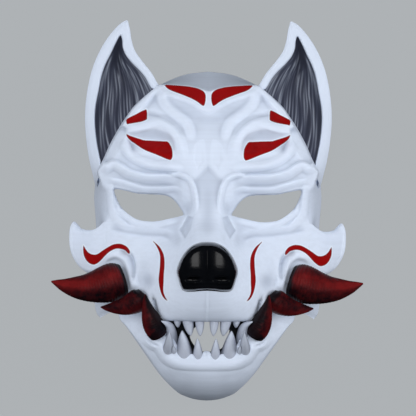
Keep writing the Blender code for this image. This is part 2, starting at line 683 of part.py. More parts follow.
def make_ear(side, parts, outside):
    rows = 13
    across = [0, 0.06, 0.13, 0.2, 0.35, 0.65, 0.8, 0.87, 0.94, 1]
    lift = [-1.5, 0.6, 0.9, -1.5, None, None, -1.5, 0.9, 0.6, -1.5]
    outer = even([(*p, z) for p, z in zip(EAR_OUTER, EAR_OUTER_Z)], rows)
    inner = even([(*p, z) for p, z in zip(EAR_INNER, EAR_INNER_Z)], rows)
    points = []
    for a, b in zip(outer, inner):
        width = math.hypot(*(b - a)[:2])
        dish = min(EAR_DISH, 0.26 * width)
        rim = min(1.0, width / 18)
        for t, up in zip(across, lift):
            p = a + (b - a) * t
            hollow = dish * (1 - (2 * t - 1)**4)
            p[2] += rim * (up + 1.5) - hollow if up is not None and up > 0 else -hollow
            points.append(p)
    p = np.array(points)
    x, y, z = p.T
    if side > 0:
        p = p.reshape(rows, len(across), 3)[:, ::-1].reshape(-1, 3)
        x, y, z = p.T
    name = "ear_right" if side > 0 else "ear_left"
    ear = slab(name, x * side, y, z, len(across) - 1, rows - 1, EAR_THICKNESS, parts,
               (0.78, 0.82, 0.88), 0.4)
    combine(ear, outside, "DIFFERENCE")
    return ear


def horn(name, path, side, grow, group):
    """Horn: a round bar along its middle line, tapering to the tip."""
    curve = bpy.data.curves.new(name, "CURVE")
    curve.dimensions = "3D"
    curve.bevel_depth = MM
    curve.bevel_resolution = 3
    curve.use_fill_caps = True
    spline = curve.splines.new("POLY")
    spline.points.add(len(path) - 1)
    for point, (px, py, pz, radius) in zip(spline.points, path):
        point.co = (px * side * MM, py * MM, pz * MM, 1)
        point.radius = radius + grow
    return solid_curve(name, curve, (0, 0, 0), group)


def make_tusk(name, path, side, others, parts):
    tusk = horn(name, path, side, 0, parts)
    tusk.data.materials.append(paint(name, (0.12, 0.01, 0.01), 0.4))
    for other in others:
        combine(tusk, other, "DIFFERENCE")
    return tusk


def main():
    for obj in list(bpy.data.objects):
        bpy.data.objects.remove(obj)
    parts = bpy.data.collections.new("kitsune_mask")
    cutters = bpy.data.collections.new("kitsune_mask_cutters")
    bpy.context.scene.collection.children.link(parts)
    bpy.context.scene.collection.children.link(cutters)
    face, outside = make_face(parts, cutters)
    jaw, jaw_outside = make_jaw(parts, cutters)
    make_nose(parts, cutters, outside)
    make_lining(parts)
    for side, word in ((1, "right"), (-1, "left")):
        make_ear(side, parts, outside)
        make_tusk("tusk_upper_" + word, TUSK_UPPER, side, [outside], parts)
        make_tusk("tusk_lower_" + word, TUSK_LOWER, side, [outside, jaw_outside], parts)
        upper_room = horn("tusk_upper_room", TUSK_UPPER, side, GAP, cutters)
        hide_cutter(upper_room)
        lower_room = horn("tusk_lower_room", TUSK_LOWER, side, GAP, cutters)
        hide_cutter(lower_room)
        make_tusk("tusk_middle_" + word, TUSK_MIDDLE, side,
                  [outside, jaw_outside, upper_room, lower_room], parts)
    for obj in parts.objects:
        obj.location.y = CENTRE_Y * MM


main()
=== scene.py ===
"""Kitsune face mask dressed over its solids: carved white shell with red markings, dark
dished ears, gloss nose, toothed mouth and brushed tusks.

Lengths are in millimetres in the part's own layout and become metres when a mesh is placed.
"""

import math

import bmesh
import bpy
import numpy as np
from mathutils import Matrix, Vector


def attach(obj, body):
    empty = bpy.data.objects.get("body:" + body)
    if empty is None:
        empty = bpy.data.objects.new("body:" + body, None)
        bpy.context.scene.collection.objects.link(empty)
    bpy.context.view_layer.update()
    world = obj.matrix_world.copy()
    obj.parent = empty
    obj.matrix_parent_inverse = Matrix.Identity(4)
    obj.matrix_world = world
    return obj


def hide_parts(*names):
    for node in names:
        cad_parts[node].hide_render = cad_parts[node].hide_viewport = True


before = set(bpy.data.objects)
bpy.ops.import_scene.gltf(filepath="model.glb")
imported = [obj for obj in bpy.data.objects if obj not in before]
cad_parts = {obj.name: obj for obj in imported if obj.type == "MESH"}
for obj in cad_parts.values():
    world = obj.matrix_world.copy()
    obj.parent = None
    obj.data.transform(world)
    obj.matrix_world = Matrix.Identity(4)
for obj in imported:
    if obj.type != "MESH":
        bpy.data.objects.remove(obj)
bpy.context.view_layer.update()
bpy.ops.object.select_all(action="DESELECT")

MM = 0.001
CENTRE_Y = 1.2
WALL = 3.0
RIM_STEP = 4.0
SMOOTH_BELOW = math.radians(50)

# Grids, across and up, and the middles they spread from
FACE_GRID = (268, 288)
FACE_MIDDLE = (0, 5)
HOLLOW_GRID = (90, 90)
CORE_GRID = (32, 34)
FIN_GRID = (40, 40)
FIN_MIDDLE = (84, -28)
EAR_GRID = (180, 110)
JAW_ACROSS = 110
JAW_ROWS = 101

# Back rim of the face, right half, from the top of the dome to the cheek corner
RIM = [
    (0, 104.5), (18, 102), (35.8, 94.6), (51, 84.8), (62, 73.5), (70, 64), (76.5, 53),
    (81, 41.6), (86, 30), (85.3, 19), (85.8, 7.6), (84.2, -13.6), (84.2, -37.9),
    (85, -62), (85, -70.4), (83.5, -78), (81.5, -81),
]
LOWER = [(79, -83), (70, -84), (52, -83), (38, -81), (28, -79.6), (18, -79.3), (0, -79.5)]
HOLLOW_LOW = [(78.4, -84), (73, -93), (50, -97), (25, -98), (0, -98)]
HOLLOW_INSET = 2.6
NOTCH = [
    (81, -90), (80.6, -82.6), (77.5, -80), (73.5, -77.4), (67, -74), (58, -71.2), (50, -70), (44, -70.5),
    (38, -73.4), (34.5, -76.6), (31, -80), (30, -90),
]

# Height of the face front above the back rim: one row for each y, one value for each x
FRONT_X = [0, 8, 15, 22, 30, 38, 46, 54, 62, 70, 78, 86, 102]
FRONT = [
    (108, [36, 35, 34, 31, 28, 24, 20, 15, 10, 6, 2, -2, -12]),
    (92, [51, 50.5, 50, 49, 47, 44, 40, 35, 30, 26, 22, 18, 8]),
    (80, [58.5, 58.3, 58, 57.5, 56, 53.5, 50.5, 46.5, 41.5, 36, 31.5, 27, 19]),
    (66, [65, 65, 65, 64.5, 63, 61, 58, 54.5, 50, 45, 39.5, 33.5, 25]),
    (52, [70, 70, 70, 69, 67.5, 65.5, 63, 60, 56, 51, 46, 41, 32]),
    (40, [72.5, 72.5, 72, 71, 69, 67, 65, 62, 59, 54.5, 50, 45, 36]),
    (30, [74, 74, 73, 71.5, 69.5, 67.5, 66, 64, 61, 57.5, 53.5, 48, 38]),
    (20, [77, 76.5, 74.5, 70, 66.5, 65, 63.5, 62, 59.5, 56, 52, 46, 38]),
    (10, [80.5, 80, 74.5, 67, 62.5, 61, 60, 58.5, 56.5, 53.5, 49.5, 44, 38]),
    (0, [85.5, 84, 73.6, 66.2, 62.5, 60.5, 59, 57.5, 55.5, 52.5, 48, 44, 42]),
    (-10, [93.5, 91, 80.8, 72.1, 67, 64.5, 62, 60, 57.5, 54, 49.5, 46, 46]),
    (-20, [106, 103, 93, 82, 75, 70, 66, 63, 60, 56, 51.5, 48, 48]),
    (-30, [114.5, 112.5, 105.4, 94.4, 84, 76, 70, 65.5, 61, 57, 52.5, 49, 49]),
    (-42, [117.5, 116.5, 112.1, 102.6, 91, 81, 72, 66, 60.5, 55.5, 51, 48, 48]),
    (-55, [114.8, 114.3, 111.3, 104.5, 95, 84, 73, 65, 58, 52, 48, 45, 44]),
    (-61, [112, 111.5, 109, 103.2, 94.5, 83.5, 72, 63.5, 56.5, 50.5, 46.5, 43, 40]),
    (-66, [108.8, 108.3, 106.1, 100.9, 92.8, 82.5, 71, 62, 55, 49, 45, 41.5, 38]),
    (-71, [104.9, 104.4, 102.4, 97.6, 90.2, 80.7, 69.5, 60.5, 53.5, 47.8, 43.5, 40, 35.5]),
    (-76, [99.2, 98.8, 97.2, 93.2, 87, 78.5, 67.8, 59.3, 52.4, 46.5, 42.3, 38.5, 33]),
    (-81, [91.8, 91.4, 90, 87, 82.4, 75.6, 66, 58, 51, 45, 41, 37, 31]),
    (-86, [83, 82.6, 81.4, 79.4, 76.6, 72, 63.8, 56, 49, 43.5, 39.5, 35.5, 29]),
]
WALL_RISE = [(-81, 1.8), (-72, 2.6), (-62, 4.6), (-40, 5), (-14, 5.2), (10, 5.2), (30, 8), (104.5, 8)]
WALL_TURN = [(-81, 7), (-56, 7), (-48, 1.6), (-14, 1.6), (-7, 14), (0, 22), (14, 22), (30, 8), (104.5, 5)]

# The crown's crisp edge takes over from the rounded cheek wall above this y, over this length
CROWN_FROM = 12
CROWN_OVER = 12
CROWN_WALL = 6

# Crisp outer edge of the carved front, right half, from the crown down to the brow's end
PLATE_EDGE = [
    (-3, 87.6), (0, 86.8), (3, 87.6), (6.75, 88.9), (11, 90.1), (15.5, 90.9), (20.5, 91.4), (26.25, 91.9),
    (32.25, 92.1), (37.5, 91.5), (41, 88.2), (45.5, 84), (50, 79.5), (54.5, 75), (58, 69.5), (61.5, 63.5),
    (65, 57), (69, 49.5), (72.5, 43), (76, 35.5), (78.4, 31.2), (80.4, 28), (79.6, 24), (78, 20),
    (77.5, 8), (77, -5),
]

# Carved rolls: crest line from the outside inward, rise, width on its upper and lower side
ROLLS = [
    ([(36, 88.6), (32.7, 86.2), (28.7, 84.2), (23.5, 82.2), (16.2, 79.6), (10, 76.4), (6.5, 74.4), (3, 72.6)],
     0.9, 5, 2.0),
    ([(34.6, 89), (33.5, 82.2), (30.7, 77.4), (26.2, 72.9), (21, 68.8), (15.9, 64.8), (12.9, 59.2),
      (11.6, 52), (11.8, 46)], 2.3, 5.5, 5.8),
    ([(63, 59), (59.2, 60.1), (52.5, 60.6), (46.4, 62), (40.9, 63.8), (34.8, 64.2), (29.2, 61.6),
      (24.4, 57.4), (21, 52), (19, 45), (18.2, 37.6), (18.4, 30)], 2.5, 7.0, 5.2),
    ([(64, 52), (61.9, 48.1), (59.4, 43), (54.3, 38), (47.6, 34.4), (41, 32.4), (34, 31.3), (26.2, 30.8),
      (19, 29.2), (14.5, 26.6)], 3.0, 6, 4.4),
    ([(80, 27), (78.5, 29), (74.4, 32), (68.9, 34.5), (63.8, 32.4), (58, 28.4), (52.1, 26.2),
      (44.9, 24.7), (36.9, 24.4), (29.6, 24.2), (23, 22.6), (17, 18.6)], 3.6, 3.2, 6.6),
    ([(76, 23), (72, 22), (63.7, 20.4), (56.4, 18.2), (47, 15.6), (38.3, 15.2), (31, 15.4),
      (23.8, 15.8), (18.4, 13.4), (14.5, 9)], 1.6, 2.8, 3.6),
    ([(30, 24), (21.5, 25.5), (14.5, 23), (11, 18.5), (8.8, 10), (8.6, 2), (10.5, -5.5)],
     2.6, 3.0, 3.0),
    ([(69, 3), (64.5, -1), (58.5, -5), (51.5, -8.6), (44, -10), (37, -10), (28, -8.2), (20, -6.2), (15, -4)],
     1.7, 4, 3.6),
    ([(70.5, 21), (70, 15.4), (69.3, 8), (68.8, 1.6), (65.2, -5.3), (58.3, -11.6), (50, -14.5)],
     1.8, 2.6, 6),
    ([(53.5, -60), (54.5, -55), (56, -49), (57, -43.5), (59.5, -38), (63.5, -34.6), (68.5, -34),
      (73.5, -36.2), (78.5, -41)], 3.4, 3.2, 6.0),
]

# Carved hollows: middle line, depth, width on its upper and lower side
HOLLOWS = [
    ([(50, 71), (44, 70), (40.7, 69.3), (36.6, 68), (32.6, 66.6), (28.7, 64.5), (25, 61.5), (21.2, 57),
      (18, 51)], 1.2, 3.6, 1.8),
    ([(74, -13), (70.5, -13.7), (61.9, -15.5), (47, -17.5), (34, -18), (27.7, -19.7), (24, -23)],
     1.4, 4.2, 2.2),
    ([(65, -29.8), (58.5, -30.6), (54.8, -33.6), (53.2, -38), (52.7, -43), (53.0, -47.5), (54.4, -53)],
     2.6, 1.5, 5.2),
    ([(38.6, -63), (37.6, -67), (36.8, -71), (35.6, -75), (33.6, -78.5)], 3.0, 2.0, 2.0),
]

# Shelves: crisp upper edge, drop, width of the fall below it and of the slow return
SHELVES = [
    ([(38, 90), (32.7, 85.9), (28.7, 84), (23.5, 82), (16.2, 79.4), (10, 76.2), (6.5, 74.2), (2.5, 72),
      (0, 71.4), (-2.5, 72), (-6.5, 74.2)], 4.2, 9, 34),
    ([(63, 54.5), (58.6, 56.3), (51.3, 57), (46.3, 58.2), (40.7, 59.2), (36.6, 59.2), (31.6, 57.4),
      (27.1, 54.4), (24.6, 51), (23.4, 46), (23, 40)], 4.4, 7.5, 9),
]

# Round pits: centre, radius and depth
PITS = [((42.4, -51.6), 5.6, 2.0)]

# Fine upright ridge under the nose
PHILTRUM_RISE = 0.55
PHILTRUM_WIDTH = 0.8
PHILTRUM_TOP = -56

# Rounded edges of the upper lip and of the upper eyelid
LIP_DROP = 1.6
LIP_TURN = 3.0
LIP_END = 38
LID_DROP = 1.6
LID_TURN = 1.5

# Flat cuts: outline, depth at its middle, fall of the cut for each mm in x and in y, edge width
FLATS = [
    ([(14.7, -4), (9.3, -4.8), (11.5, -13.7), (15.9, -21.5), (20.4, -14.4)], 1.3, 0.12, 0.02, 0.7),
    ([(62, 61), (59.5, 59.5), (59.2, 54.6), (62.2, 49.3), (64.6, 41), (66.5, 38.2), (74, 33.6), (80, 36),
      (80, 50), (70, 62)], 3.4, 0.52, 0.34, 0.8),
    ([(3.5, 51), (9.6, 47), (10.8, 36), (7.6, 28.5), (2.6, 33.5), (2.2, 44)], 0.35, 0.05, -0.03, 1.6),
    ([(0, 32.6), (7, 25.6), (10.8, 21.5), (9.2, 16), (8.2, 8), (8, -8), (-8, -8), (-8.2, 8), (-9.2, 16),
      (-10.8, 21.5), (-7, 25.6)], 0.35, 0.0, 0.02, 2.6),
]

# Painted shade on single planes, painted highlight where the strength is below 0: outline, strength and width
# of its edge
PAINTED_SHADE_PLANES = [
    ([(0, 32.6), (7, 25.6), (10.6, 21.5), (8.8, 16), (8.2, 8), (8.6, -4), (10.6, -14), (12.4, -22),
      (-12.4, -22), (-10.6, -14), (-8.6, -4), (-8.2, 8), (-8.8, 16), (-10.6, 21.5), (-7, 25.6)], 0.66, 3.0),
    ([(58, -32), (54, -36), (52.4, -42), (52.8, -49), (55.5, -49), (56.4, -43), (58.4, -37.5), (62, -33.6)],
     0.5, 1.6),
    ([(48, -50), (45.5, -46.4), (41.5, -45.6), (38, -47.6), (37, -52), (38.6, -56), (42, -58),
      (45.5, -55.6)], 0.30, 6.0),
    ([(0, 68), (8, 66), (12.5, 58), (12.5, 46), (10, 34), (0, 34), (-8, 36), (-8, 66)], 0.22, 4.0),
    ([(66, -72), (64.9, -81.8), (60.3, -87), (51.2, -99.9), (43.7, -110.5), (36.1, -121), (30, -127),
      (27, -123), (33, -117), (40.5, -107), (48, -96.5), (57, -84), (61, -76)], 0.7, 3.5),
    ([(0, -109.8), (18, -109.4), (25, -107.6), (30, -104), (34, -99.5), (37, -100.5), (33, -106.5),
      (27, -111.5), (19, -114), (0, -114.4), (-8, -114.4), (-8, -109.8)], 0.40, 2.6),
    ([(3.5, 51), (9.6, 47), (10.8, 36), (7.6, 28.5), (2.6, 33.5), (2.2, 44)], -0.4, 1.5),
    ([(0, -64), (14, -66), (26, -69), (36, -74), (36, -80), (0, -80), (-8, -72)], 0.30, 8.0),
    ([(0, 71), (6.5, 73.8), (16.2, 79), (28.7, 83.6), (35, 86), (33, 79), (27, 73), (20, 68), (10, 65),
      (0, 64), (-10, 65), (-6.5, 73.8)], 0.28, 2.5),
    ([(63, 54), (51.3, 56.6), (40.7, 58.8), (31.6, 57), (27.1, 54), (24.4, 46), (26, 50), (30, 51.4),
      (40, 52), (50, 53), (58, 56)], 0.40, 1.5),
]

EYE = [
    (68.2, 14.5), (60.3, 13.7), (51.5, 11.7), (42.7, 11.2), (33.8, 10.8), (28.6, 9.7),
    (24.1, 6.6), (20.6, 2.2), (17.5, -3.1), (20.6, -4.7), (28.6, -6.6), (37.4, -8.4),
    (44.4, -8.4), (51.5, -7.1), (57.6, -3.5), (62.9, 1.3), (66.4, 7.5),
]
FIN = [
    (76, -9.5), (79, -12.2), (81.8, -14), (85, -15.2), (89.5, -15.2), (93.5, -14), (96, -11.4), (98, -9),
    (99.7, -10.2), (101.2, -14), (101.6, -20.5), (101, -28), (99, -34.5), (95.5, -40.5),
    (91.5, -44.5), (86, -47.5), (78, -49), (72, -47), (69, -38), (69, -22), (72, -10),
]

# Painted markings, right half
MARK_BROW_TOP = [
    (32.25, 91.75), (26.25, 91.5), (20.5, 91), (15.5, 90.5), (11, 89.75), (6.75, 88.5),
    (3.75, 86.75), (2.25, 84.5), (2, 81.75), (2.25, 78.75), (3, 76.25), (3.75, 75.75),
    (5.25, 76.5), (7.75, 78.5), (11.5, 80.75), (16, 82.75), (21, 84.75), (26.25, 86.75),
    (29.25, 88.25), (31, 89.75),
]
MARK_BROW = [
    (60, 55.2), (57.2, 53.9), (53, 52.5), (49, 51.25), (46.5, 50.5), (41.75, 50.25),
    (36.75, 50), (32.75, 49.75), (29.5, 49.5), (27.75, 47.5), (26.25, 44.5), (25.75, 41.25),
    (25.75, 38.25), (26.75, 36.25), (27.75, 36), (30.75, 37), (34.75, 38.75), (39.75, 40.75),
    (45, 42.75), (49, 45), (53, 47.75), (56.6, 50.25), (58.8, 52.5),
]
MARK_TEMPLE = [
    (60, 66), (57, 67.75), (52.75, 69.75), (49.25, 71.75), (46.5, 73), (45.5, 73.25),
    (45, 72.25), (44.75, 69.75), (44.75, 67.75), (44.75, 66), (46.25, 65), (49.25, 64),
    (53.25, 63.25), (58, 62.5), (59.4, 62.2), (60, 64),
]
MARK_CHEEK = [
    (91, -26.4), (90.9, -32.6), (89.1, -37), (86.6, -39.6), (83.3, -40.6), (80.6, -39.6),
    (77.7, -37.2), (74.6, -33.8), (71.7, -31.2), (68.5, -29.3), (65.5, -28.5), (62.5, -28.8),
    (59.8, -29.8), (58, -31.6), (56.6, -32.2), (56.4, -30), (58.3, -27.2), (61.6, -25.4),
    (65, -24.9), (69, -25.7), (73.3, -28), (77.3, -30.6), (80.5, -32.8), (83.6, -33.2),
    (87, -31.9), (89.3, -29.2),
]
MARK_MUZZLE = [
    (39.2, -22.5), (37.5, -23.9), (35, -26), (33, -28.6), (31.5, -31.6), (30.7, -35),
    (30.5, -40), (30.9, -46), (31, -51.5), (31.2, -56), (30.9, -59), (29.7, -62),
    (28, -64.6), (30, -63.6), (32, -61), (33.4, -57.5), (34.2, -54), (34.7, -49.8),
    (34.3, -44.8), (33.9, -39.8), (33.8, -34.8), (34.3, -31.4), (35.8, -27.9),
    (37.6, -25), (39.2, -23.2),
]
MARKS = [MARK_BROW_TOP, MARK_BROW, MARK_TEMPLE, MARK_CHEEK, MARK_MUZZLE]

# Teeth: x and y of the root, x and y of the tip, radius of the root, rise to the tip
UPPER_TEETH = [((21.3, -75.5), (20.7, -84.3), 3.0, -2), ((14.2, -75.5), (11.5, -90), 4.1, -2),
               ((5.4, -75.5), (4.7, -90), 3.4, -2)]
LOWER_TEETH = [((27.6, -102.2), (26.4, -86.6), 4.4, 22), ((16.2, -103.8), (17.6, -86.3), 6.4, 8),
               ((6.1, -107.4), (6.7, -91.8), 4.3, 8), ((23.4, -103.4), (23.8, -97), 2.5, 12)]

# Lower jaw
JAW_OUTER = [
    (68, -64), (66.5, -74), (64.9, -81.8), (60.3, -87), (51.2, -99.9), (43.7, -110.5),
    (36.1, -121), (27, -131), (18.7, -138.5), (9.6, -142.3), (0, -143.4),
]
JAW_INNER = [
    (46, -64), (44.5, -70.5), (41.5, -77), (38, -82), (34, -85.5), (30, -87.5), (26.5, -90), (23, -94),
    (20.5, -98.5), (17, -101.5), (12.5, -102.8), (9.5, -103.5), (6.5, -104.8), (3.6, -103.6),
    (2.2, -101.6), (0, -101),
]
JAW_X = [0, 10, 20, 30, 40, 50, 60, 70]
JAW = [
    (-60, [80, 80, 80, 75, 62, 48, 40, 34]),
    (-70, [82, 82, 81, 77, 66, 51, 42, 35]),
    (-80, [84, 84, 82, 79, 71, 58, 47, 37]),
    (-92, [85.5, 85.5, 84, 81, 74, 62, 47.5, 33]),
    (-101, [86, 86, 84.5, 80, 70.5, 56, 38, 18]),
    (-107, [85.2, 85, 83, 77.5, 65.5, 48.5, 27, 4]),
    (-111, [83.8, 83.4, 81, 74.5, 60.5, 41.5, 18, -8]),
    (-116, [80.8, 80, 77.2, 69.5, 53, 31.5, 4, -22]),
    (-120, [77.4, 76.2, 72.8, 63.5, 45, 20, -10, -35]),
    (-124, [73.3, 71.8, 67.4, 55.5, 34, 6, -22, -45]),
    (-128, [67.8, 65.6, 59.5, 44, 18, -10, -35, -55]),
    (-132, [60.2, 57, 48, 27.5, -2, -25, -45, -65]),
    (-136, [49.5, 44.8, 31, 4, -20, -40, -55, -75]),
    (-140, [32, 25.5, 6, -18, -40, -60, -65, -85]),
    (-145, [3, -6, -28, -45, -60, -70, -80, -95]),
]
JAW_HOLLOW_OUTER = [
    (66.5, -56), (64, -74), (62.3, -81.2), (57.9, -85.6), (48.9, -98.7), (41.5, -109.2), (34, -119.5),
    (25.2, -129.2), (17.5, -136.1), (9, -139.8), (0, -140.8),
]
JAW_HOLLOW_INNER = [
    (40, -56), (36, -66), (30, -72), (22, -78), (18, -84), (16, -92), (13, -96), (6, -98), (0, -98),
]
JAW_ROUND = 9.0
JAW_BULGE = 80
JAW_TURN = 8.0
JAW_LIP_RISE = 5.4
JAW_LIP_WIDTHS = (8, 6.8)
JAW_FOLD_DEPTH = 2.4
JAW_FOLD_WIDTH = 1.8
JAW_TUCK = -72  # above this y the jaw stays under the face
GUM_RISE = 1.5
GUM_SHIFT = 3.5
JAW_LIP = [
    (44, -90), (41.2, -93.2), (38.1, -95.3), (34.4, -96.6), (31, -101), (28.2, -105), (24, -107.4),
    (18.3, -108.6), (9, -108.9), (0, -109), (-9, -108.9), (-18.3, -108.6), (-24, -107.4),
]
JAW_FOLD = [(44, -93), (40, -96), (36.5, -97.3), (33.5, -98)]

# Horn at each corner of the mouth: points along the middle line with a radius each
HORN = [
    (25.4, -101, 72, 4.2), (25.5, -96, 75.5, 4.4), (25.4, -91, 78.5, 4.3), (25.8, -86.2, 81.5, 3.6),
    (26.9, -83, 84, 2.8), (29.3, -81, 86.5, 1.7), (32.6, -79.4, 88.5, 0.3),
]

# Ear: outer and inner edge from the root to the tip, and the height of each
EAR_OUTER = [(83.5, 17), (86, 27), (88.5, 38), (90.5, 51.5), (91.5, 65.5), (91, 78.5), (89, 92.5),
             (85.5, 106), (80, 118.5), (73.3, 128.8), (66.2, 136.7), (61, 139.8)]
EAR_INNER = [(81.5, 21), (76, 33), (68, 47.5), (60.5, 61.5), (53.5, 73), (44.5, 82), (36.5, 89.5),
             (38.5, 94.5), (42.5, 101.3), (49.5, 110), (54.5, 117.3), (57.1, 125), (58.3, 132.5),
             (60.0, 139.4)]
EAR_OUTER_Z = [26, 28, 30, 31, 32, 33, 34, 35, 36, 37, 37.5, 38]
EAR_INNER_Z = [43, 45, 47, 48.5, 48.5, 46.5, 43.5, 42.5, 42, 41.2, 40.3, 39.4, 38.6, 38]
EAR_DARK = [
    (65.5, 128.5), (69, 122.5), (72.5, 115), (76.5, 107), (79.5, 98), (81.5, 87), (83.5, 76.5),
    (84, 65.5), (83, 54), (81.5, 45), (79.5, 36), (77, 28), (60, 40), (34, 82), (42, 89.5),
    (46.5, 97), (51, 102.5), (56.5, 108), (61, 113.5), (63.5, 119.5), (64, 125),
]
STRAND_OUT = [(20, 72), (36, 79.5), (54, 83), (65.5, 84), (76.5, 83.5), (87, 81.5), (98, 79.5), (107, 76.5),
              (115, 72.5), (122.5, 69), (128.5, 65.5)]
STRAND_IN = [(20, 24), (40, 28), (60, 33), (80, 38), (89.5, 42), (97, 46.5), (102.5, 51), (108, 56.5),
             (113.5, 61), (119.5, 63.5), (128.5, 65.3)]
EAR_DISH = 11.0
EAR_THICKNESS = 3.6

# Nose pad
NOSE_MIDDLE = (0, -41)
NOSE = [
    (0, -22.3), (5, -22.7), (10, -24.6), (14.5, -28.2), (18.8, -34.5), (21.6, -42.5),
    (20.3, -49), (18.6, -54.4), (16.2, -57), (10, -57.2), (5, -56.7), (0, -56.5),
]
NOSE_GRID = (120, 120)
NOSE_FRONT = 126.0
NOSE_DOME = (8.6, -35.5)
NOSE_DOME_RADIUS = 34
NOSE_EDGE_DROP = 14
NOSTRIL = (9.6, -47.6)
NOSTRIL_TUCK_Y = -47.9
NOSTRIL_WING_Y = -50.8

# Tusks: points along the middle line with a radius each
TUSK_UPPER = [
    (61.6, -51, 56, 11.6), (65.6, -52.2, 57, 13.6), (70, -53.3, 58, 14.1), (76, -55, 59, 13.2),
    (83, -56.4, 60, 11.4), (90, -57, 61, 9.5), (97, -56.6, 61.5, 7.5), (103.5, -55.5, 62, 5.1),
    (109, -53.9, 62, 2.7), (113.3, -52.6, 62, 0.5),
]
TUSK_MIDDLE = [
    (45.4, -60.4, 72, 5.0), (47.2, -62.8, 72, 7.6), (50.3, -65.6, 71.5, 8.5), (54, -67.7, 70.6, 8.0),
    (58.5, -69.5, 69.5, 6.9), (63, -70.5, 68.4, 5.6), (67.5, -71, 67.4, 4.3), (72.5, -71.2, 66.4, 2.5),
    (77, -70.9, 65, 0.5),
]
TUSK_LOWER = [
    (34.4, -89.4, 79, 6.9), (36.2, -86.3, 80.5, 7.7), (38.4, -82, 82, 7.6), (40.4, -77, 83.5, 6.5),
    (42, -72.3, 84.5, 4.8), (43.2, -67.5, 85, 3.1), (43.8, -64, 85, 1.9), (44, -60.5, 85, 0.4),
]


def smooth_line(points, per=6, closed=False):
    """Smooth curve through the points."""
    p = np.array(points, float)
    if closed:
        q = np.vstack([p[-1:], p, p[:2]])
    else:
        q = np.vstack([2 * p[:1] - p[1:2], p, 2 * p[-1:] - p[-2:-1]])
    t = np.linspace(0, 1, per, endpoint=False)[:, None]
    out = []
    for i in range(1, len(q) - 2):
        a, b, c, d = q[i - 1], q[i], q[i + 1], q[i + 2]
        out.append(0.5 * (2 * b + (c - a) * t + (2 * a - 5 * b + 4 * c - d) * t**2
                          + (3 * b - a - 3 * c + d) * t**3))
    out = np.vstack(out)
    return out if closed else np.vstack([out, p[-1:]])


def along(pairs, v):
    """Value at v of a smooth line through (position, value) pairs."""
    p = smooth_line(pairs, 10)
    return np.interp(v, p[:, 0], p[:, 1])


def low_blend(a, b, k):
    """The lower of two heights, with a rounded turn k wide between them."""
    h = np.clip(0.5 + 0.5 * (b - a) / k, 0, 1)
    return b * (1 - h) + a * h - k * h * (1 - h)


def high_blend(a, b, k):
    return -low_blend(-a, -b, k)


def nearest(x, y, line):
    """Distance to a line, with its side (+ to the left of travel) and its share of the length."""
    a = line[:-1]
    d = line[1:] - a
    ll = (d**2).sum(1)
    start = np.concatenate([[0], np.cumsum(np.sqrt(ll))])
    away = np.empty(len(x))
    share = np.empty(len(x))
    for s in range(0, len(x), 20000):
        e = slice(s, s + 20000)
        qx = x[e, None] - a[:, 0]
        qy = y[e, None] - a[:, 1]
        t = np.clip((qx * d[:, 0] + qy * d[:, 1]) / ll, 0, 1)
        r = np.hypot(qx - t * d[:, 0], qy - t * d[:, 1])
        j = r.argmin(1)
        k = np.arange(len(j))
        side = np.sign(d[j, 0] * qy[k, j] - d[j, 1] * qx[k, j])
        away[e] = r[k, j] * side
        share[e] = (start[j] + t[k, j] * np.sqrt(ll[j])) / start[-1]
    return away, share


def steps(knots, values, at):
    """Smooth values between knots, row by row."""
    xk = np.array(knots, float)
    yk = np.array(values, float)
    h = np.diff(xk)[:, None]
    d = np.diff(yk, axis=0) / h
    m = np.zeros_like(yk)
    m[1:-1] = (h[1:] * d[:-1] + h[:-1] * d[1:]) / (h[1:] + h[:-1])
    m[0] = d[0]
    m[-1] = d[-1]
    i = np.clip(np.searchsorted(xk, at) - 1, 0, len(xk) - 2)
    w = h[i]
    t = (at - xk[i])[:, None] / w
    return ((2 * t**3 - 3 * t**2 + 1) * yk[i] + (t**3 - 2 * t**2 + t) * w * m[i]
            + (3 * t**2 - 2 * t**3) * yk[i + 1] + (t**3 - t**2) * w * m[i + 1])


def sheet(xs, rows):
    """A fine grid of heights, even about x = 0, from a few rows of heights."""
    ys = [row[0] for row in rows][::-1]
    values = np.array([row[1] for row in rows][::-1], float)
    values = np.hstack([values[:, 2:3], values[:, 1:2], values])
    both = [-xs[2], -xs[1]] + list(xs)
    tall = steps(ys, values, np.arange(ys[0], ys[-1] + 0.25, 0.5))
    return ys[0], steps(both, tall.T, np.arange(0, xs[-1] + 0.25, 0.5)).T


def read(grid, x, y):
    y0, g = grid
    fx = np.clip(np.abs(x) * 2, 0, g.shape[1] - 1.001)
    fy = np.clip((y - y0) * 2, 0, g.shape[0] - 1.001)
    i = fx.astype(int)
    j = fy.astype(int)
    u = fx - i
    v = fy - j
    return ((g[j, i] * (1 - u) + g[j, i + 1] * u) * (1 - v)
            + (g[j + 1, i] * (1 - u) + g[j + 1, i + 1] * u) * v)


FRONT_SHEET = sheet(FRONT_X, FRONT)
JAW_SHEET = sheet(JAW_X, JAW)
RIM_LINE = np.vstack([[(-10, 104.5)], smooth_line(RIM, 4)])
LIP_LINE = smooth_line([(36, -79.5), (28, -79.5), (18, -79.3), (0, -79.5)], 4)
PLATE_LINE = smooth_line(PLATE_EDGE, 4)
EYE_LINE = smooth_line([(62.5, 1), (66.4, 7.5), (68.2, 14.5), *EYE[1:9]], 4)
JAW_RIM_LINE = np.vstack([smooth_line(JAW_OUTER, 4), [(-10, -143.4)]])


def ease(t):
    """Smooth step from 0 to 1."""
    return t * t * (3 - 2 * t)


def fade(share, ends=0.16, last=None):
    """1 along the middle of a line, falling smoothly to 0 at its two ends."""
    return ease(np.clip(np.minimum(share / ends, (1 - share) / (last or ends)), 0, 1))


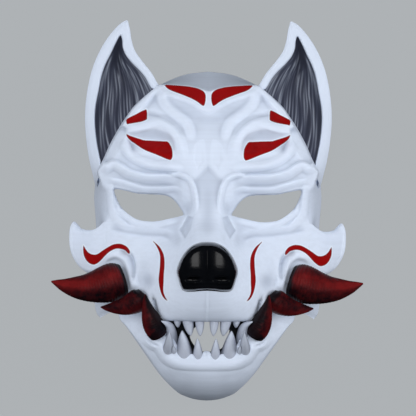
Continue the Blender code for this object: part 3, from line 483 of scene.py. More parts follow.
def band(x, y, points, upper, lower):
    """1 on the line, falling to 0 at the given widths above and below it."""
    t, share = nearest(x, y, smooth_line(points, 6))
    below = np.clip(t / lower, 0, 1)
    above = np.clip(-t / upper, 0, 1)
    form = np.where(t > 0, 1 - below**1.9, (1 - above)**2 * (1 + 2 * above))
    return form * fade(share, 0.12, 0.26)


def relief(x, y):
    """Carving of the face front, right half, mm out of the plain form."""
    z = np.zeros_like(x)
    for points, rise, upper, lower in ROLLS:
        z = high_blend(z, rise * band(x, y, points, upper, lower), 0.5)
    for points, depth, upper, lower in HOLLOWS:
        t, share = nearest(x, y, smooth_line(points, 6))
        t = np.where(t > 0, t / lower, -t / upper)
        z = z - depth * np.maximum(1 - np.abs(t)**1.3, 0) * fade(share)
    for points, drop, fall, back in SHELVES:
        t, share = nearest(x, y, smooth_line(points, 6))
        down = 1 - (1 - np.clip(t / fall, 0, 1))**2
        rest = np.clip((t - fall) / back, 0, 1)
        z = z - drop * down * (1 - ease(rest)) * fade(share, 0.1)
    for (px, py), wide, depth in PITS:
        z = z - depth * np.exp(-((x - px)**2 + (y - py)**2) / wide**2)
    z = z + PHILTRUM_RISE * np.exp(-(x / PHILTRUM_WIDTH)**4) * np.clip((PHILTRUM_TOP - y) / 3, 0, 1)
    for outline, depth, fall_x, fall_y, edge in FLATS:
        p = np.array(outline, float)
        within = np.where(inside(x, y, p), edge_distance(x, y, p), 0)
        fall = depth + fall_x * (x - p[:, 0].mean()) + fall_y * (y - p[:, 1].mean())
        z = z - np.maximum(fall, 0) * np.clip(within / edge, 0, 1)
    return z


def walled(front, x, y, turn):
    """Front height brought down to the back rim: rounded at the cheeks, crisp along the plate edge."""
    d = nearest(x, y, RIM_LINE)[0]
    cheek = low_blend(front, RIM_STEP + along(WALL_RISE, y) * -d, along(WALL_TURN, y))
    out = nearest(x, y, PLATE_LINE)[0]
    level = read(FRONT_SHEET, x, y)
    room = np.maximum(-d, 0)
    slope = RIM_STEP + (level - RIM_STEP) * room / np.maximum(room + out, 0.01)
    crown = low_blend(front, np.where(out > 0, slope, level - CROWN_WALL * out), turn)
    w = ease(np.clip((y - CROWN_FROM) / CROWN_OVER, 0, 1))
    return crown * w + cheek * (1 - w)


def plain_height(x, y):
    x = np.abs(x)
    return walled(read(FRONT_SHEET, x, y), x, y, 2.5)


def front_height(x, y):
    """Front of the face with its carving, before the side wall turns down."""
    x = np.abs(x)
    z = read(FRONT_SHEET, x, y) + relief(x, y)
    lip = np.abs(nearest(x, y, LIP_LINE)[0])
    lid = np.abs(nearest(x, y, EYE_LINE)[0])
    z = z - LIP_DROP * np.clip(1 - lip / LIP_TURN, 0, 1)**2 * (x < LIP_END)
    return z - LID_DROP * np.clip(1 - lid / LID_TURN, 0, 1)**2


def face_height(x, y):
    x = np.abs(x)
    return np.maximum(walled(front_height(x, y), x, y, 0.9), 1.0)


def jaw_height(x, y):
    """Front of the lower jaw, with its lip, the folds at its corners and a gum ring round each tooth."""
    x = np.abs(x)
    d = nearest(x, y, JAW_RIM_LINE)[0]
    inward = np.clip(1 + d / JAW_ROUND, 0, 1)
    form = read(JAW_SHEET, x, y) + JAW_LIP_RISE * band(x, y, JAW_LIP, *JAW_LIP_WIDTHS)
    t, share = nearest(x, y, smooth_line(JAW_FOLD, 5))
    form = form - JAW_FOLD_DEPTH * np.clip(1 - np.abs(t) / JAW_FOLD_WIDTH, 0, 1) * fade(share, 0.3)
    for root, tip, radius, rise in LOWER_TEETH:
        away = np.hypot(x - root[0], y - root[1] - GUM_SHIFT)
        form = form + GUM_RISE * np.exp(-(away - radius)**2)
    z = low_blend(form, RIM_STEP + JAW_BULGE * np.sqrt(1 - inward**2), JAW_TURN)
    under = inner_height(x, y) - 1.0
    return np.maximum(np.where(y > JAW_TUCK, np.minimum(z, under), z), 1.0)


def tilt(height, x, y):
    """Length of the surface normal for a unit of its Z part."""
    e = 0.5
    gx = (height(x + e, y) - height(x - e, y)) / (2 * e)
    gy = (height(x, y + e) - height(x, y - e)) / (2 * e)
    return np.sqrt(1 + gx**2 + gy**2)


def inner_height(x, y):
    """Inside of the face, one wall thickness under its plain form."""
    x = np.abs(x)
    cut = np.minimum(relief(x, y), 0)
    return plain_height(x, y) + cut - WALL * tilt(plain_height, x, y)


def inner_jaw(x, y):
    return jaw_height(x, y) - WALL * tilt(jaw_height, x, y)


def mirrored(points):
    """Closed outline from the right half of it, which starts and ends on x = 0."""
    half = np.array(points, float)
    left = half[1:-1][::-1] * (-1, 1)
    return np.vstack([half, left])


def disc_points(across, up):
    """Square grid laid on a round disc ring by ring: radius and direction of each point."""
    u, v = np.meshgrid(np.linspace(-1, 1, across + 1), np.linspace(-1, 1, up + 1))
    u = u.ravel()
    v = v.ravel()
    wide = np.abs(u) > np.abs(v)
    radius = np.maximum(np.abs(u), np.abs(v))
    whole = np.where(radius > 0, radius, 1)
    turn = math.pi / 4 * np.where(wide, v, u) / whole
    angle = np.where(wide, np.where(u > 0, turn, math.pi - turn),
                     np.where(v > 0, math.pi / 2 - turn, turn - math.pi / 2))
    return radius, angle


def spread(outline, centre, across, up, edge=1.0):
    """The disc points spread over an outline seen from centre, closer together at its edge."""
    radius, angle = disc_points(across, up)
    o = outline - centre
    phi = np.arctan2(o[:, 1], o[:, 0])
    order = np.argsort(phi)
    phi = phi[order]
    r = np.hypot(o[:, 0], o[:, 1])[order]
    phi = np.concatenate([phi - 2 * math.pi, phi, phi + 2 * math.pi])
    reach = np.interp(angle, phi, np.concatenate([r, r, r]))
    reach = reach * (1 - (1 - np.minimum(radius, 1))**edge)
    return centre[0] + reach * np.cos(angle), centre[1] + reach * np.sin(angle)


def creases(height, wide, low, high):
    """How far a form lies under its own blurred surface, 1 in a deep crease and -1 on a sharp crest."""
    xs, ys = np.meshgrid(np.arange(0, wide, 0.5), np.arange(low, high, 0.5))
    z = height(xs.ravel(), ys.ravel()).reshape(xs.shape)
    total = np.zeros_like(z)
    for reach, full in ((3, 0.5), (9, 1.6)):
        pad = 3 * reach
        weight = np.exp(-0.5 * (np.arange(-pad, pad + 1) / reach)**2)
        weight /= weight.sum()
        soft = np.pad(np.pad(z, ((pad, pad), (0, pad)), "edge"), ((0, 0), (pad, 0)), "reflect")
        soft = np.apply_along_axis(np.convolve, 0, soft, weight, "valid")
        soft = np.apply_along_axis(np.convolve, 1, soft, weight, "valid")
        total += 0.55 * np.clip((soft - z) / full, -1, 1)
    return low, np.clip(total, -1, 1)


def coordinates(mesh):
    """Points of a mesh as they are stored, in metres."""
    co = np.empty(len(mesh.vertices) * 3)
    mesh.vertices.foreach_get("co", co)
    return co.reshape(-1, 3)


def place_points(mesh, co):
    mesh.vertices.foreach_set("co", np.asarray(co, np.float32).ravel())
    mesh.update()


def places(obj):
    """Points of a mesh in millimetres of the part's own layout."""
    return coordinates(obj.data) / MM - (0, CENTRE_Y, 0)


def put(obj, points):
    """Moves the points of a mesh to places in millimetres of the part's own layout."""
    place_points(obj.data, (np.asarray(points, float) + (0, CENTRE_Y, 0)) * MM)


def alone(obj):
    """Selects one object and nothing else."""
    bpy.ops.object.select_all(action="DESELECT")
    obj.select_set(True)
    bpy.context.view_layer.objects.active = obj


def open_all():
    """Edit mode with the whole mesh selected."""
    bpy.ops.object.mode_set(mode="EDIT")
    bpy.ops.mesh.select_all(action="SELECT")


def tidy_normals(obj):
    alone(obj)
    open_all()
    bpy.ops.mesh.normals_make_consistent(inside=False)
    bpy.ops.object.mode_set(mode="OBJECT")


def thicken(obj, rise=0.0):
    """Closes an open sheet into a slab with a moved copy of it; tells which points are the copy's."""
    alone(obj)
    open_all()
    bpy.ops.mesh.extrude_region_move(TRANSFORM_OT_translate={"value": (0, 0, rise * MM)})
    bpy.ops.object.mode_set(mode="OBJECT")
    moved = np.empty(len(obj.data.vertices), bool)
    obj.data.vertices.foreach_get("select", moved)
    return moved


def formed_grid(name, across, up, x, y, z):
    """Open sheet: a square grid with its points moved to x, y, z, row by row from the lower left."""
    bpy.ops.object.select_all(action="DESELECT")
    bpy.ops.mesh.primitive_grid_add(x_subdivisions=across, y_subdivisions=up, size=2)
    obj = bpy.context.object
    obj.name = name
    co = places(obj)
    order = np.lexsort((np.round(co[:, 0], 3), np.round(co[:, 1], 3)))
    new = np.empty_like(co)
    new[order] = np.stack([x, y, z], 1)
    put(obj, new)
    return obj


def block(name, x, y, z, across, up, floor):
    """Closed block with a formed top over a flat grid, down to the floor height."""
    obj = formed_grid(name, across, up, x, y, z)
    open_all()
    bpy.ops.mesh.region_to_loop()
    bpy.ops.mesh.extrude_region_move()
    bm = bmesh.from_edit_mesh(obj.data)
    for v in bm.verts:
        if v.select:
            v.co.z = floor * MM
    bmesh.update_edit_mesh(obj.data)
    bpy.ops.mesh.edge_face_add()
    bpy.ops.object.mode_set(mode="OBJECT")
    tidy_normals(obj)
    return obj


def slab(name, x, y, z, under, across, up):
    """Closed slab between a formed grid and the heights under it."""
    obj = formed_grid(name, across, up, x, y, z)
    moved = thicken(obj)
    points = places(obj)
    points[moved, 2] = under(*points[moved].T)
    put(obj, points)
    tidy_normals(obj)
    return obj


def cut(obj, other, how="DIFFERENCE", keep=False):
    """Boolean of obj with another body, applied."""
    alone(obj)
    mod = obj.modifiers.new("cut", "BOOLEAN")
    mod.operation = how
    mod.solver = "EXACT"
    mod.object = other
    bpy.ops.object.modifier_apply(modifier=mod.name)
    if not keep:
        bpy.data.objects.remove(other)


def outline_plate(name, points, low, high):
    """Flat plate between two heights from a closed outline."""
    bpy.ops.object.select_all(action="DESELECT")
    bpy.ops.mesh.primitive_circle_add(vertices=len(points), radius=1, fill_type="NGON")
    obj = bpy.context.object
    obj.name = name
    put(obj, np.column_stack([points, np.full(len(points), low)]))
    thicken(obj, high - low)
    tidy_normals(obj)
    return obj


def bar(name, sides, rings):
    """Closed round bar of unit size, with points (cos, sin, share of the length)."""
    bpy.ops.object.select_all(action="DESELECT")
    bpy.ops.mesh.primitive_cylinder_add(vertices=sides, radius=1, depth=1, end_fill_type="TRIFAN",
                                        location=(0, 0, 0.5))
    obj = bpy.context.object
    obj.name = name
    bpy.ops.object.transform_apply(location=True, rotation=True, scale=True)
    bpy.ops.object.mode_set(mode="EDIT")
    bpy.ops.mesh.select_all(action="DESELECT")
    bm = bmesh.from_edit_mesh(obj.data)
    for e in bm.edges:
        a, b = e.verts
        e.select = abs(a.co.z - b.co.z) > 0.5
    bmesh.update_edit_mesh(obj.data)
    bpy.ops.mesh.subdivide(number_cuts=rings)
    bpy.ops.object.mode_set(mode="OBJECT")
    return obj, coordinates(obj.data)


def sweep(path, unit):
    """Places for the points of a unit bar carried along a path of (x, y, z, radius)."""
    line = smooth_line(path, 12)
    gap = np.sqrt((np.diff(line[:, :3], axis=0)**2).sum(1))
    at = np.concatenate([[0], np.cumsum(gap)])
    at /= at[-1]
    t = unit[:, 2]
    middle = np.stack([np.interp(t, at, line[:, k]) for k in range(4)], 1)
    way = np.gradient(line[:, :3], axis=0)
    way /= np.sqrt((way**2).sum(1))[:, None]
    w = np.stack([np.interp(t, at, way[:, k]) for k in range(3)], 1)
    w /= np.sqrt((w**2).sum(1))[:, None]
    up = np.array([0, 0, 1.0])
    side = np.cross(w, up)
    side /= np.sqrt((side**2).sum(1))[:, None]
    over = np.cross(side, w)
    return middle[:, :3], middle[:, 3], side, over, t


def mark_points(obj, name, values):
    a = obj.data.attributes.new(name, "FLOAT", "POINT")
    a.data.foreach_set("value", np.asarray(values, np.float32))


def mirror_copy(obj, name):
    """Copy of a right-hand piece for the left side."""
    mesh = obj.data.copy()
    mesh.name = name
    other = bpy.data.objects.new(name, mesh)
    bpy.context.scene.collection.objects.link(other)
    place_points(mesh, coordinates(mesh) * (-1, 1, 1))
    mesh.flip_normals()
    mesh.update()
    return other


def join(objects, name):
    alone(objects[0])
    for o in objects:
        o.select_set(True)
    bpy.ops.object.join()
    obj = bpy.context.object
    obj.name = name
    obj.data.name = name
    return obj


def inside(x, y, outline):
    """True for points within a closed outline."""
    hit = np.zeros(len(x), bool)
    for (x0, y0), (x1, y1) in zip(outline, np.roll(outline, -1, axis=0)):
        if y0 != y1:
            level = (y0 > y) != (y1 > y)
            hit ^= level & (x < (x1 - x0) * (y - y0) / (y1 - y0) + x0)
    return hit


def edge_distance(x, y, outline):
    """Distance to the edge of a closed outline, mm."""
    return np.abs(nearest(x, y, np.vstack([outline, outline[:1]]))[0])


def mark_distance(x, y, outline):
    """Distance to the edge of a painted mark, negative within it, mm."""
    line = smooth_line(outline, 3, True)
    away = edge_distance(x, y, line)
    return np.where(inside(x, y, line), -away, away)


# Materials

def new_material(name):
    m = bpy.data.materials.new(name)
    m.use_nodes = True
    tree = m.node_tree
    return m, tree, tree.nodes["Principled BSDF"]


def node(tree, kind, **settings):
    n = tree.nodes.new(kind)
    for key, value in settings.items():
        setattr(n, key, value)
    return n


def noise(tree, scale, detail=3.0, stretch=(1, 1, 1), roughness=0.5):
    """Noise over the piece; scale is in cycles a metre."""
    place = node(tree, "ShaderNodeTexCoord")
    turn = node(tree, "ShaderNodeMapping")
    turn.inputs["Scale"].default_value = stretch
    tree.links.new(place.outputs["Object"], turn.inputs["Vector"])
    n = node(tree, "ShaderNodeTexNoise")
    n.inputs["Scale"].default_value = scale
    n.inputs["Detail"].default_value = detail
    n.inputs["Roughness"].default_value = roughness
    tree.links.new(turn.outputs["Vector"], n.inputs["Vector"])
    return n.outputs["Fac"]


def ramp(tree, source, stops):
    n = node(tree, "ShaderNodeValToRGB")
    while len(n.color_ramp.elements) < len(stops):
        n.color_ramp.elements.new(1.0)
    for e, (at, colour) in zip(n.color_ramp.elements, stops):
        e.position = at
        e.color = (*colour, 1)
    tree.links.new(source, n.inputs["Fac"])
    return n.outputs["Color"]


def mix(tree, share, a, b, how="MIX"):
    n = node(tree, "ShaderNodeMix", data_type="RGBA", blend_type=how)
    for socket, value in ((n.inputs[0], share), (n.inputs[6], a), (n.inputs[7], b)):
        if isinstance(value, bpy.types.NodeSocket):
            tree.links.new(value, socket)
        elif isinstance(value, tuple):
            socket.default_value = (*value, 1)
        else:
            socket.default_value = value
    return n.outputs[2]


def math_node(tree, what, a, b, c=0.0):
    n = node(tree, "ShaderNodeMath", operation=what)
    for socket, value in zip(n.inputs, (a, b, c)):
        if isinstance(value, bpy.types.NodeSocket):
            tree.links.new(value, socket)
        else:
            socket.default_value = value
    return n.outputs[0]


def attribute(tree, name):
    n = node(tree, "ShaderNodeAttribute", attribute_name=name)
    return n.outputs["Fac"]


def step(tree, value, low, high):
    """0 below low, 1 above high."""
    n = node(tree, "ShaderNodeMapRange", clamp=True)
    n.inputs["From Min"].default_value = low
    n.inputs["From Max"].default_value = high
    tree.links.new(value, n.inputs["Value"])
    return n.outputs["Result"]


def bump(tree, shader, height, strength, distance):
    n = node(tree, "ShaderNodeBump")
    n.inputs["Strength"].default_value = strength
    n.inputs["Distance"].default_value = distance
    tree.links.new(height, n.inputs["Height"])
    tree.links.new(n.outputs["Normal"], shader.inputs["Normal"])


def coat(tree, shader, colour, specular=0.5):
    tree.links.new(colour, shader.inputs["Base Color"])
    shader.inputs["Specular IOR Level"].default_value = specular


def roughen(tree, shader, source, low, high):
    rough = ramp(tree, source, [(0.2, (low,) * 3), (0.8, (high,) * 3)])
    tree.links.new(rough, shader.inputs["Roughness"])


def scaled(colour, share):
    return tuple(c * share for c in colour)


WHITE = (0.72, 0.80, 0.95)
RED = (0.285, 0.0022, 0.0028)
HALO = (0.80, 0.86, 0.96)
STUDIO_GREY = (0.423, 0.445, 0.462)


def white_paint(name, painted):
    """Cool white satin coat with a fine print grain, darkened by painted shade in creases and on listed
    planes and a little lighter as painted highlight on crests; painted adds the red markings.
    """
    m, tree, shader = new_material(name)
    colour = ramp(tree, noise(tree, 38, 4), [(0.3, scaled(WHITE, 0.955)), (0.7, WHITE)])
    tint = ramp(tree, noise(tree, 430, 2, (0.03, 1, 1)), [(0.35, (0.965,) * 3), (0.6, (1.0,) * 3)])
    colour = mix(tree, 1.0, colour, tint, "MULTIPLY")
    # Painted shade: the white darkens in creases and on the listed planes; sharp crests stay lighter as a
    # painted highlight.
    crease_shade = ramp(tree, step(tree, attribute(tree, "crease"), -1, 1),
                [(0.0, (1.0,) * 3), (0.5, (0.955,) * 3), (1.0, (0.70, 0.71, 0.73))])
    colour = mix(tree, 1.0, colour, crease_shade, "MULTIPLY")
    if painted:
        edge = math_node(tree, "MULTIPLY_ADD", noise(tree, 900, 2), 0.25, attribute(tree, "mark"))
        cover = step(tree, edge, 0.34, -0.06)
        red = ramp(tree, noise(tree, 120, 3), [(0.3, scaled(RED, 0.86)), (0.72, RED)])
        # Painted shade: the red turns darker along the inside of each mark's edge, for the shadow of the step
        # there.
        red = mix(tree, step(tree, edge, -0.45, 0.0), red, scaled(RED, 0.5))
        halo = math_node(tree, "MULTIPLY", step(tree, edge, 1.3, 0.6), 0.55)
        colour = mix(tree, cover, mix(tree, halo, colour, HALO), red)
    coat(tree, shader, colour, 0.12)
    grain = noise(tree, 700, 4, (0.12, 1, 1))
    roughen(tree, shader, grain, 0.42, 0.54)
    bump(tree, shader, grain, 0.16, 0.00025)
    return m


def tooth_white_painted_shade():
    """Greyer white with painted shade of the recessed mouth, darker along the sides, at the root and towards
    the tip.
    """
    m, tree, shader = new_material("tooth_white_painted_shade")
    colour = ramp(tree, attribute(tree, "shade"), [(0.0, (0.60, 0.66, 0.78)), (0.6, (0.44, 0.48, 0.58)),
                                                   (1.0, (0.17, 0.19, 0.25))])
    fine = noise(tree, 500, 3)
    spots = ramp(tree, fine, [(0.3, (0.94,) * 3), (0.7, (1.0,) * 3)])
    coat(tree, shader, mix(tree, 1.0, colour, spots, "MULTIPLY"), 0.25)
    roughen(tree, shader, fine, 0.36, 0.48)
    bump(tree, shader, fine, 0.12, 0.0002)
    return m


def black_gloss():
    m, tree, shader = new_material("nose_black_gloss")
    tone = noise(tree, 90, 3)
    coat(tree, shader, ramp(tree, tone, [(0.3, (0.0022, 0.0026, 0.0036)), (0.8, (0.004, 0.0045, 0.006))]),
         0.45)
    fine = noise(tree, 520, 3, (0.2, 1, 1))
    roughen(tree, shader, fine, 0.09, 0.20)
    bump(tree, shader, fine, 0.22, 0.0003)
    return m


def lining_black():
    m, tree, shader = new_material("lining_black_matte")
    fine = noise(tree, 300, 4)
    coat(tree, shader, ramp(tree, fine, [(0.3, (0.003, 0.003, 0.004)), (0.8, (0.008, 0.008, 0.010))]))
    shader.inputs["Roughness"].default_value = 0.75
    bump(tree, shader, fine, 0.3, 0.0003)
    return m


def tusk_brushed():
    """Black base coat dry-brushed with red, heavier where the attribute says."""
    m, tree, shader = new_material("tusk_brushed_red")
    strokes = noise(tree, 260, 4, (1, 1, 1), 0.65)
    cover = step(tree, math_node(tree, "MULTIPLY_ADD", strokes, 0.7, attribute(tree, "red")), 0.5, 1.15)
    tone = noise(tree, 90, 3)
    black = ramp(tree, tone, [(0.3, (0.003, 0.003, 0.005)), (0.8, (0.014, 0.004, 0.005))])
    red = ramp(tree, tone, [(0.3, (0.09, 0.004, 0.005)), (0.75, (0.19, 0.009, 0.010))])
    coat(tree, shader, mix(tree, cover, black, red), 0.2)
    roughen(tree, shader, noise(tree, 800, 3), 0.36, 0.52)
    bump(tree, shader, strokes, 0.25, 0.0003)
    return m


def ear_dark(name):
    """White rim and back, dark brushed dish with paler strands."""
    m, tree, shader = new_material(name)
    # The ear's white is the shell white made darker, a painted shade in place of the crease shade the shell
    # carries.
    white = ramp(tree, noise(tree, 38, 4), [(0.3, scaled(WHITE, 0.89)), (0.7, scaled(WHITE, 0.93))])
    dark = ramp(tree, attribute(tree, "strand"),
                [(0.0, (0.030, 0.034, 0.055)), (0.3, (0.055, 0.062, 0.094)),
                 (0.65, (0.17, 0.19, 0.24)), (1.0, (0.31, 0.34, 0.41))])
    cover = step(tree, attribute(tree, "dish"), -0.25, 0.25)
    coat(tree, shader, mix(tree, cover, white, dark))
    fine = noise(tree, 700, 4)
    roughen(tree, shader, fine, 0.42, 0.58)
    bump(tree, shader, fine, 0.14, 0.00025)
    return m


# Pieces

def face_core(lower_by):
    """Coarse solid of the face, a little under its front, that other pieces are cut with."""
    outline = mirrored(np.vstack([smooth_line(RIM, 4), smooth_line(LOWER, 4)]))
    x, y = spread(outline * 0.985, FACE_MIDDLE, *CORE_GRID, 1.5)
    return block("face_core", x, y, np.maximum(face_height(x, y) - lower_by, 0.5), *CORE_GRID, -1)


def make_fin(side):
    """Cheek flap that stands out past the rim, with its edge and its root turned down a little."""
    edge = smooth_line(FIN, 5, True)
    x, y = spread(edge, FIN_MIDDLE, *FIN_GRID)
    turn = 1.5 * np.clip(1 - edge_distance(x, y, edge) / 2.5, 0, 1)**2 * np.clip((x - 80) / 5, 0, 1)
    turn = turn + 0.9 * np.clip((74.5 - x) / 4, 0, 1) + 0.02
    return slab("fin", x * side, y, front_height(x, y) - turn, lambda a, b, c: c - 4.0, *FIN_GRID)


def make_face():
    fine = FACE_GRID
    outline = mirrored(np.vstack([smooth_line(RIM, 8), smooth_line(LOWER, 8)]))
    x, y = spread(outline, FACE_MIDDLE, *fine)
    face = block("face", x, y, face_height(x, y), *fine, 0)
    cut(face, join([make_fin(side) for side in (1, -1)], "fins"), "UNION")
    holes = []
    for side in (1, -1):
        holes.append(outline_plate("notch", smooth_line(NOTCH, 4) * (side, 1), -5, 130))
        holes.append(outline_plate("eye", smooth_line(EYE, 6, True) * (side, 1), 20, 110))
    cut(face, join(holes, "holes"))
    x, y = spread(inner_outline(), FACE_MIDDLE, *HOLLOW_GRID)
    cut(face, block("hollow", x, y, np.maximum(inner_height(x, y), -4), *HOLLOW_GRID, -6))
    return face


def inner_outline():
    """Outline of the hollow: inside the back rim, and out past the lip and the cheek edge."""
    line = smooth_line(RIM, 4)
    way = np.gradient(line, axis=0)
    way = way / np.hypot(way[:, 0], way[:, 1])[:, None]
    inset = line + np.stack([way[:, 1], -way[:, 0]], 1) * HOLLOW_INSET
    inset[0] = (0, RIM[0][1] - HOLLOW_INSET)
    return mirrored(np.vstack([inset[inset[:, 1] > -76], HOLLOW_LOW]))


def paint_crease_shade(obj, height, wide, low, high):
    """Depth of the painted shade on the front of a piece, in its creases and on the listed planes, below 0
    for painted highlight on crests; less on its steep walls.
    """
    p = places(obj)
    x, y = np.abs(p[:, 0]), p[:, 1]
    deep = read(creases(height, wide, low, high), x, y)
    for outline, strength, soft in PAINTED_SHADE_PLANES:
        deep = deep + strength * np.clip(-mark_distance(x, y, np.array(outline)) / soft + 0.5, 0, 1)
    deep = deep * np.clip((5.5 - tilt(height, x, y)) / 2.5, 0, 1)
    mark_points(obj, "crease", np.where(p[:, 2] < height(x, y) - 2.2, 0.0, deep))


def paint_marks(face):
    """Distance from the red markings on the front of the face, far away for all other points."""
    p = places(face)
    x, y = np.abs(p[:, 0]), p[:, 1]
    d = np.full(len(x), 20.0)
    for outline in MARKS:
        d = np.minimum(d, mark_distance(x, y, np.array(outline)))
    mark_points(face, "mark", np.where(p[:, 2] < front_height(x, y) - 2.2, 20.0, d))


def even(points, count):
    """Points spaced evenly by length along a smooth line."""
    line = smooth_line(points, 8)
    gap = np.concatenate([[0], np.cumsum(np.hypot(*np.diff(line[:, :2], axis=0).T))])
    at = np.linspace(0, gap[-1], count)
    return np.stack([np.interp(at, gap, line[:, k]) for k in range(line.shape[1])], 1)


def strip(outer, inner, shares):
    """Grid rows from an outer to an inner edge, both mirrored about x = 0."""
    start, end = (np.vstack([edge * (-1, 1), edge[-2::-1]]) for edge in (outer, inner))
    return np.vstack([start + (end - start) * t for t in shares])


def make_jaw():
    shares = np.linspace(0, 1, JAW_ROWS)**0.9
    x, y = strip(even(JAW_OUTER, JAW_ACROSS), even(JAW_INNER, JAW_ACROSS), shares).T
    jaw = block("jaw", x, y, jaw_height(x, y), 2 * JAW_ACROSS - 2, JAW_ROWS - 1, 0)
    x, y = strip(even(JAW_HOLLOW_OUTER, 30), even(JAW_HOLLOW_INNER, 30), np.linspace(0, 1, 25)).T
    cut(jaw, block("jaw_hollow", x, y, np.maximum(inner_jaw(x, y), -4), 58, 24, -6))
    return jaw


def make_tooth(root, tip, root_z, tip_z, radius, full):
    """Pointed tooth with slightly full sides and a blunt tip."""
    obj, unit = bar("tooth", 20, 14)
    t = unit[:, 2]
    a = np.array([root[0], root[1], root_z])
    b = np.array([tip[0], tip[1], tip_z])
    way = (b - a) / np.linalg.norm(b - a)
    side = np.cross(way, (0, 0, 1.0))
    side /= np.linalg.norm(side)
    over = np.cross(side, way)
    width = radius * (1 - t**full)**0.75 + 0.2 * t
    bow = 0.6 * np.sin(math.pi * t)
    p = a + (b - a) * t[:, None] + (unit[:, :1] * side + unit[:, 1:2] * over) * width[:, None]
    p[:, 2] += bow
    put(obj, p)
    tidy_normals(obj)
    # Painted shade: darker along the tooth's sides and round its root.
    edge = np.clip((np.abs(unit[:, 0]) - 0.4) / 0.6, 0, 1)
    foot = np.clip((0.75 - t) / 0.5, 0, 1) * (1 - edge)
    mark_points(obj, "shade", np.clip(0.08 + 0.8 * edge**1.4 + 0.5 * foot, 0, 1))
    return obj


def make_teeth(teeth, root_height, full):
    made = []
    for side in (1, -1):
        for root, tip, radius, rise in teeth:
            root_z = root_height(root)
            made.append(make_tooth((root[0] * side, root[1]), (tip[0] * side, tip[1]),
                                   root_z, root_z + rise, radius, full))
    return made


def upper_root(root):
    """Height of a tooth tucked behind the edge of the upper lip."""
    return float(front_height(np.array([root[0]]), np.array([-79.0]))[0]) - 4.6


def lower_root(root):
    """Height of a tooth sunk into the gum."""
    return float(jaw_height(np.array([root[0]]), np.array([root[1]]))[0]) - 5.0


def make_horn(side):
    obj, unit = bar("horn", 32, 40)
    middle, radius, across, over, t = sweep(HORN, unit)
    p = middle + (across * unit[:, :1] + 0.8 * over * unit[:, 1:2]) * radius[:, None]
    p[:, 0] *= side
    put(obj, p)
    tidy_normals(obj)
    # Painted shade: darker on the horn's sides and towards its root, lighter towards its tip.
    mark_points(obj, "shade", np.clip(0.6 + 0.4 * np.abs(unit[:, 0])**1.5 - 0.4 * t, 0, 1))
    return obj


def make_nose():
    """Gloss nose pad: two shallow domes side by side, a rounded edge and slit nostrils."""
    outline = mirrored(smooth_line(NOSE, 8))
    x, y = spread(outline, NOSE_MIDDLE, *NOSE_GRID)
    side = np.abs(x)
    dome = (side - NOSE_DOME[0])**2 + 0.9 * (y - NOSE_DOME[1])**2
    z = NOSE_FRONT - dome / (2 * NOSE_DOME_RADIUS)
    roll_width = 3.2 + 2.6 * np.clip((y + 55) / 18, 0, 1)
    roll = np.clip(1 - edge_distance(x, y, outline) / roll_width, 0, 1)
    z = z - NOSE_EDGE_DROP * (1 - np.sqrt(np.maximum(1 - roll**2.6, 0)))
    z = z - 0.35 * np.exp(-(x / 0.9)**2) * np.clip((y + 54) / 5, 0, 1)
    across = side - NOSTRIL[0]
    tuck = (across / 6.2)**2 + ((y - NOSTRIL_TUCK_Y) / 2.6)**2
    z = z - 1.5 * np.clip(1 - tuck, 0, 1)**0.7
    slit = (across / 4.6)**2 + (y - NOSTRIL[1])**2
    z = z - 4.0 * np.clip(1 - slit, 0, 1)**0.6
    wing = np.exp(-(across / 6.5)**2 - ((y - NOSTRIL_WING_Y) / 0.9)**2)
    z = np.maximum(z + 1.2 * wing, front_height(x, y) + 0.3)
    return slab("nose_pad", x, y, z, lambda a, b, c: front_height(a, b) - 1.2, *NOSE_GRID)


def strands(x, y):
    """Brushed hair lines fanning down from the ear's tip, 0 to 1."""
    out = along(STRAND_OUT, y)
    span = np.maximum(out - along(STRAND_IN, y), 0.5)
    c = (out - x) / span
    rng = np.random.default_rng(11)
    best = np.zeros_like(x)
    for k in range(21):
        middle = (k + rng.uniform(0.2, 0.8)) / 21
        phase, sway = rng.uniform(0, 6.3), rng.uniform(0.006, 0.018)
        width = rng.uniform(0.6, 1.05)
        top, foot = rng.uniform(104, 119), rng.uniform(-20, 50)
        size = rng.uniform(0.6, 1.0)
        at = middle + sway * np.sin(y / 8 + phase)
        live = np.clip((top - y) / 6, 0, 1) * np.clip((y - foot) / 20, 0, 1)
        beat = 0.72 + 0.28 * np.sin(y / 6.5 + 2 * phase)
        best = np.maximum(best, size * live * beat * np.exp(-((c - at) * span / width)**2))
    return best


def make_ear(core):
    """Right ear: a raised rim round a dark dish with brushed strands, cut off at the face."""
    rows, columns = EAR_GRID
    shares = np.linspace(0, 1, columns)
    outer = even([(*p, z) for p, z in zip(EAR_OUTER, EAR_OUTER_Z)], rows)
    inner = even([(*p, z) for p, z in zip(EAR_INNER, EAR_INNER_Z)], rows)
    p = (outer[:, None] + (inner - outer)[:, None] * shares[None, :, None])[:, ::-1].reshape(-1, 3)
    x, y, z = p.T
    wide = np.repeat(np.hypot(*(inner - outer)[:, :2].T), columns)
    deep = -mark_distance(x, y, np.array(EAR_DARK, float))
    dish = np.minimum(EAR_DISH, 0.3 * wide)
    bowl = dish * (1 - (1 - np.clip(deep / 13, 0, 1))**2)
    lip = 1.3 * np.clip(deep / 0.8 + 0.5, 0, 1)
    share = np.tile(shares[::-1], rows)
    edge = np.minimum(share, 1 - share) * wide
    crown = 1.1 * np.clip(edge / 3.0, 0, 1)**0.6 * np.clip(-deep / 1.2, 0, 1)**0.5
    hair = 0.7 * strands(x, y) * np.clip(deep / 3, 0, 1)
    ear = formed_grid("ear_dish", columns - 1, rows - 1, x, y, z + crown - bowl - lip + hair)
    x, y = places(ear)[:, :2].T
    mark_points(ear, "dish", -mark_distance(x, y, np.array(EAR_DARK, float)))
    mark_points(ear, "strand", strands(x, y))
    back = thicken(ear, -EAR_THICKNESS)
    deep = np.empty(len(back), np.float32)
    dish_marks = ear.data.attributes["dish"].data
    dish_marks.foreach_get("value", deep)
    dish_marks.foreach_set("value", np.where(back, -5, deep).astype(np.float32))
    tidy_normals(ear)
    cut(ear, core, keep=True)
    return ear


